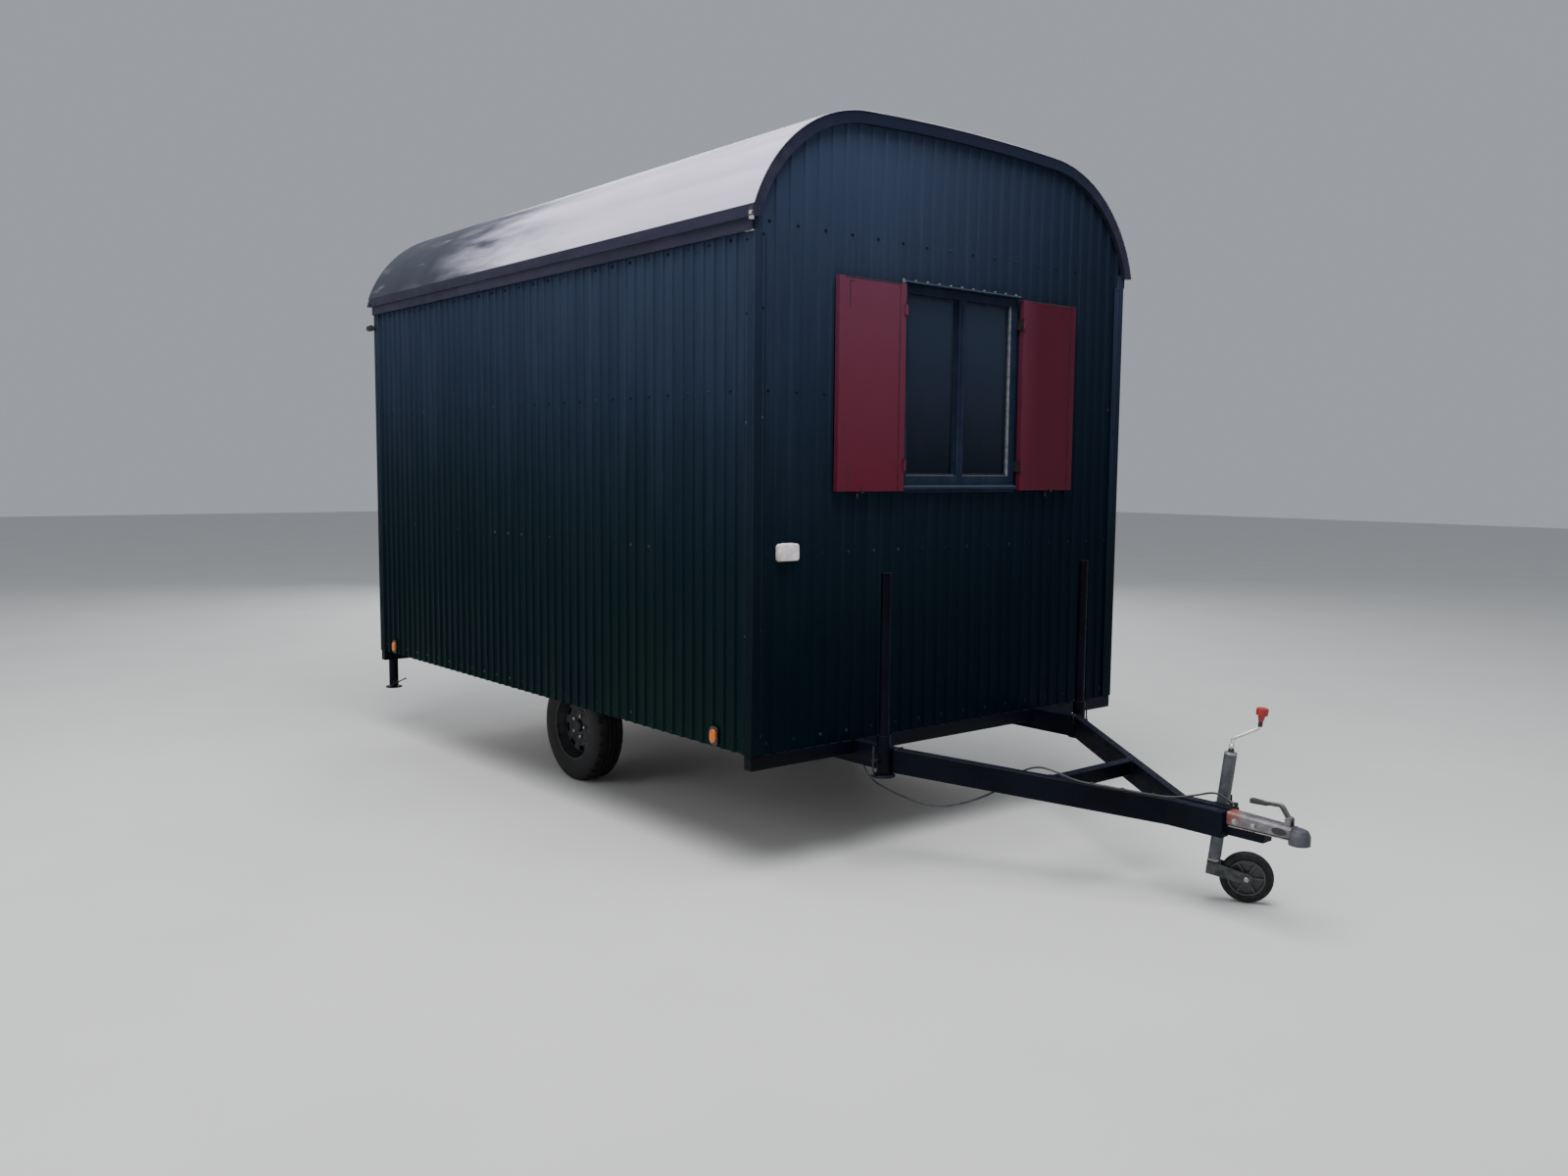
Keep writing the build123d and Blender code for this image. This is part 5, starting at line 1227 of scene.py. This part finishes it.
# Cover box on the front wall: a white plastic housing with a hinged lid, stained by damp.
# It is screwed to the sheet from within, and a seam runs round it behind the lid.
cover_white, shader, place, colour = mottled(
    "cover_white", (0.03, 0.35, 0.7), (0.88, 0.83, 0.88), (0.68, 0.64, 0.67), (0.02, 0.32, 0.55)
)
low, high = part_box("inlet_cover")
damp = times(along(place, "Z", high.z, low.z), along(place, "Y", high.y, low.y))
colour = coat(shader, times(damp, patches(place, 0.02, 0.3, 0.6)), colour, (0.46, 0.38, 0.22))
smear = times(along(place, "Z", low.z + 0.03, high.z), along(place, "Y", low.y + 0.04, high.y))
coat(shader, times(smear, patches(place, 0.015, 0.45, 0.65)), colour, (0.52, 0.24, 0.22))
rounded("inlet_cover", 0.004, cover_white, 4)
seam = ring_frame(
    (low.x + 0.004, low.y + 0.0005, low.z + 0.0005),
    (low.x + 0.0055, high.y - 0.0005, high.z - 0.0005),
    0.004,
    0.0004,
)
fit(seam, "cover_seam", clip_black_and_shade)
lid_hinge_profile = mirrored(((0.0, -0.03), (0.0035, -0.03)))
lid_hinge_spot = (low.x + 0.006, (low.y + high.y) / 2, high.z - 0.002)
lid_hinge = turned(lid_hinge_profile, 16, lid_hinge_spot, (0, 1, 0))
fit(lid_hinge, "cover_hinge", cover_white)

# Side markers: reflectors of amber plastic, ribbed behind a smooth face. Each is set in a black
# plastic base, low on a long side and near its end.
marker_amber, shader, place, colour = mottled(
    "marker_amber", (0.01, 0.4, 0.7), (0.66, 0.15, 0.008), (0.40, 0.085, 0.010), (0.01, 0.14, 0.32),
    specular=0.25,
)
shader.inputs["Coat Weight"].default_value = 0.15
relief(shader, patches(place, 0.004, 0.45, 0.55, 1, stretch=(1, 1, 20)), 0.0008, 0.6)
marker_low, marker_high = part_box("side_markers")
sheet_face = -side_low.y
base_half = (0.0275, (marker_high.z - marker_low.z) / 2)
lens_half = (0.0195, 0.0285)


def oval_plate(middle, half, near, far, corner):
    """A plate on a long side of the hut, from near to far along Y, with its corners rounded off."""
    level = (marker_low.z + marker_high.z) / 2
    plate = block(
        (middle - half[0], near, level - half[1]),
        (middle + half[0], far, level + half[1]),
    )
    bpy.ops.object.mode_set(mode="EDIT")
    bpy.ops.mesh.select_mode(type="EDGE")
    shape = bmesh.from_edit_mesh(plate.data)
    for edge in shape.edges:
        run = edge.verts[1].co - edge.verts[0].co
        edge.select_set(abs(run.y) > 0.5 * run.length)
    bmesh.update_edit_mesh(plate.data)
    bpy.ops.mesh.bevel(offset=corner, segments=8, affect="EDGES")
    bpy.ops.object.mode_set(mode="OBJECT")
    return plate


lenses, bases = [], []
for side in (-1, 1):
    for middle in (marker_high.x - base_half[0], marker_low.x + base_half[0]):
        base = oval_plate(middle, base_half, side * sheet_face, side * (sheet_face + 0.006), 0.020)
        round_edges(base, 0.001)
        bases.append(base)
        lens_foot = side * (sheet_face + 0.0015)
        lens = oval_plate(middle, lens_half, lens_foot, side * marker_high.y, 0.0192)
        round_edges(lens, 0.0035, 4)
        lenses.append(lens)
fit(lenses, "side_marker_lenses", marker_amber, stands_for="side_markers")
fit(bases, "marker_bases", clip_black_and_shade)

# Rear marker lamps: a two-ended lamp of black plastic on a stub arm at each rear corner, with a
# clear lens to the front and a red one to the rear.
lamp_black = mottled(
    "lamp_black", (0.01, 0.4, 0.7), (0.010, 0.010, 0.011), (0.030, 0.030, 0.031), (0.008, 0.42, 0.7)
)[0]
rounded("rear_marker_lamps", 0.002, lamp_black)
low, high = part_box("rear_marker_lamps")
lens_profile = (
    (0.0150, 0.0), (0.0178, 0.0), (0.0178, 0.0030), (0.0165, 0.0060), (0.0110, 0.0080),
    (0.0000, 0.0088),
)
for name, light_colour, dirt, start, way in (
    ("clear", (0.66, 0.62, 0.60), (0.42, 0.38, 0.36), high.x - 0.010, 1),
    ("red", (0.38, 0.012, 0.014), (0.22, 0.008, 0.010), low.x + 0.010, -1),
):
    finish = mottled("lens_" + name, (0.006, 0.4, 0.65), light_colour, dirt, (0.005, 0.12, 0.3))[0]
    lenses = []
    for reach in (-(high.y - 0.018), high.y - 0.018):
        lenses.append(turned(lens_profile, 24, (start, reach, (low.z + high.z) / 2), (way, 0, 0)))
    fit(lenses, "lamp_lens_" + name, finish)

# Stage: a pale studio floor under a soft overhead light.
floor_mesh = bpy.data.meshes.new("studio_floor")
floor_mesh.from_pydata([(-40, -40, 0), (40, -40, 0), (40, 40, 0), (-40, 40, 0)], [], [(0, 1, 2, 3)])
studio_floor = added("studio_floor", floor_mesh)
floor_paint, shader, place = new_finish("floor_paint", (0.62, 0.62, 0.61), 0.8)
coat(shader, patches(place, 0.8, 0.3, 0.7), (0.63, 0.63, 0.62), (0.60, 0.60, 0.59))
floor_mesh.materials.append(floor_paint)

# Lights: a wide soft panel overhead, weaker ones at the left of the view and behind the hut, and a
# dim pale room.
world = bpy.data.worlds.new("studio")
world.use_nodes = True
world.node_tree.nodes["Background"].inputs["Color"].default_value = (0.62, 0.66, 0.72, 1)
world.node_tree.nodes["Background"].inputs["Strength"].default_value = 0.58
bpy.context.scene.world = world
for name, spot, aim, size, power in (
    ("overhead_panel", (1.6, -1.8, 7.5), (0, 0, 1), 6.0, 900),
    ("left_panel", (-1.0, -9.0, 4.0), (0, 0, 1.5), 5.0, 150),
    ("rear_panel", (-9.0, 5.5, 4.5), (-0.5, 0, 1.5), 5.0, 550),
):
    lamp = bpy.data.lights.new(name, "AREA")
    lamp.size = size
    lamp.energy = power
    light = added(name, lamp)
    light.location = spot
    light.rotation_euler = (Vector(aim) - Vector(spot)).to_track_quat("-Z", "Y").to_euler()

bpy.data.objects.remove(screw)
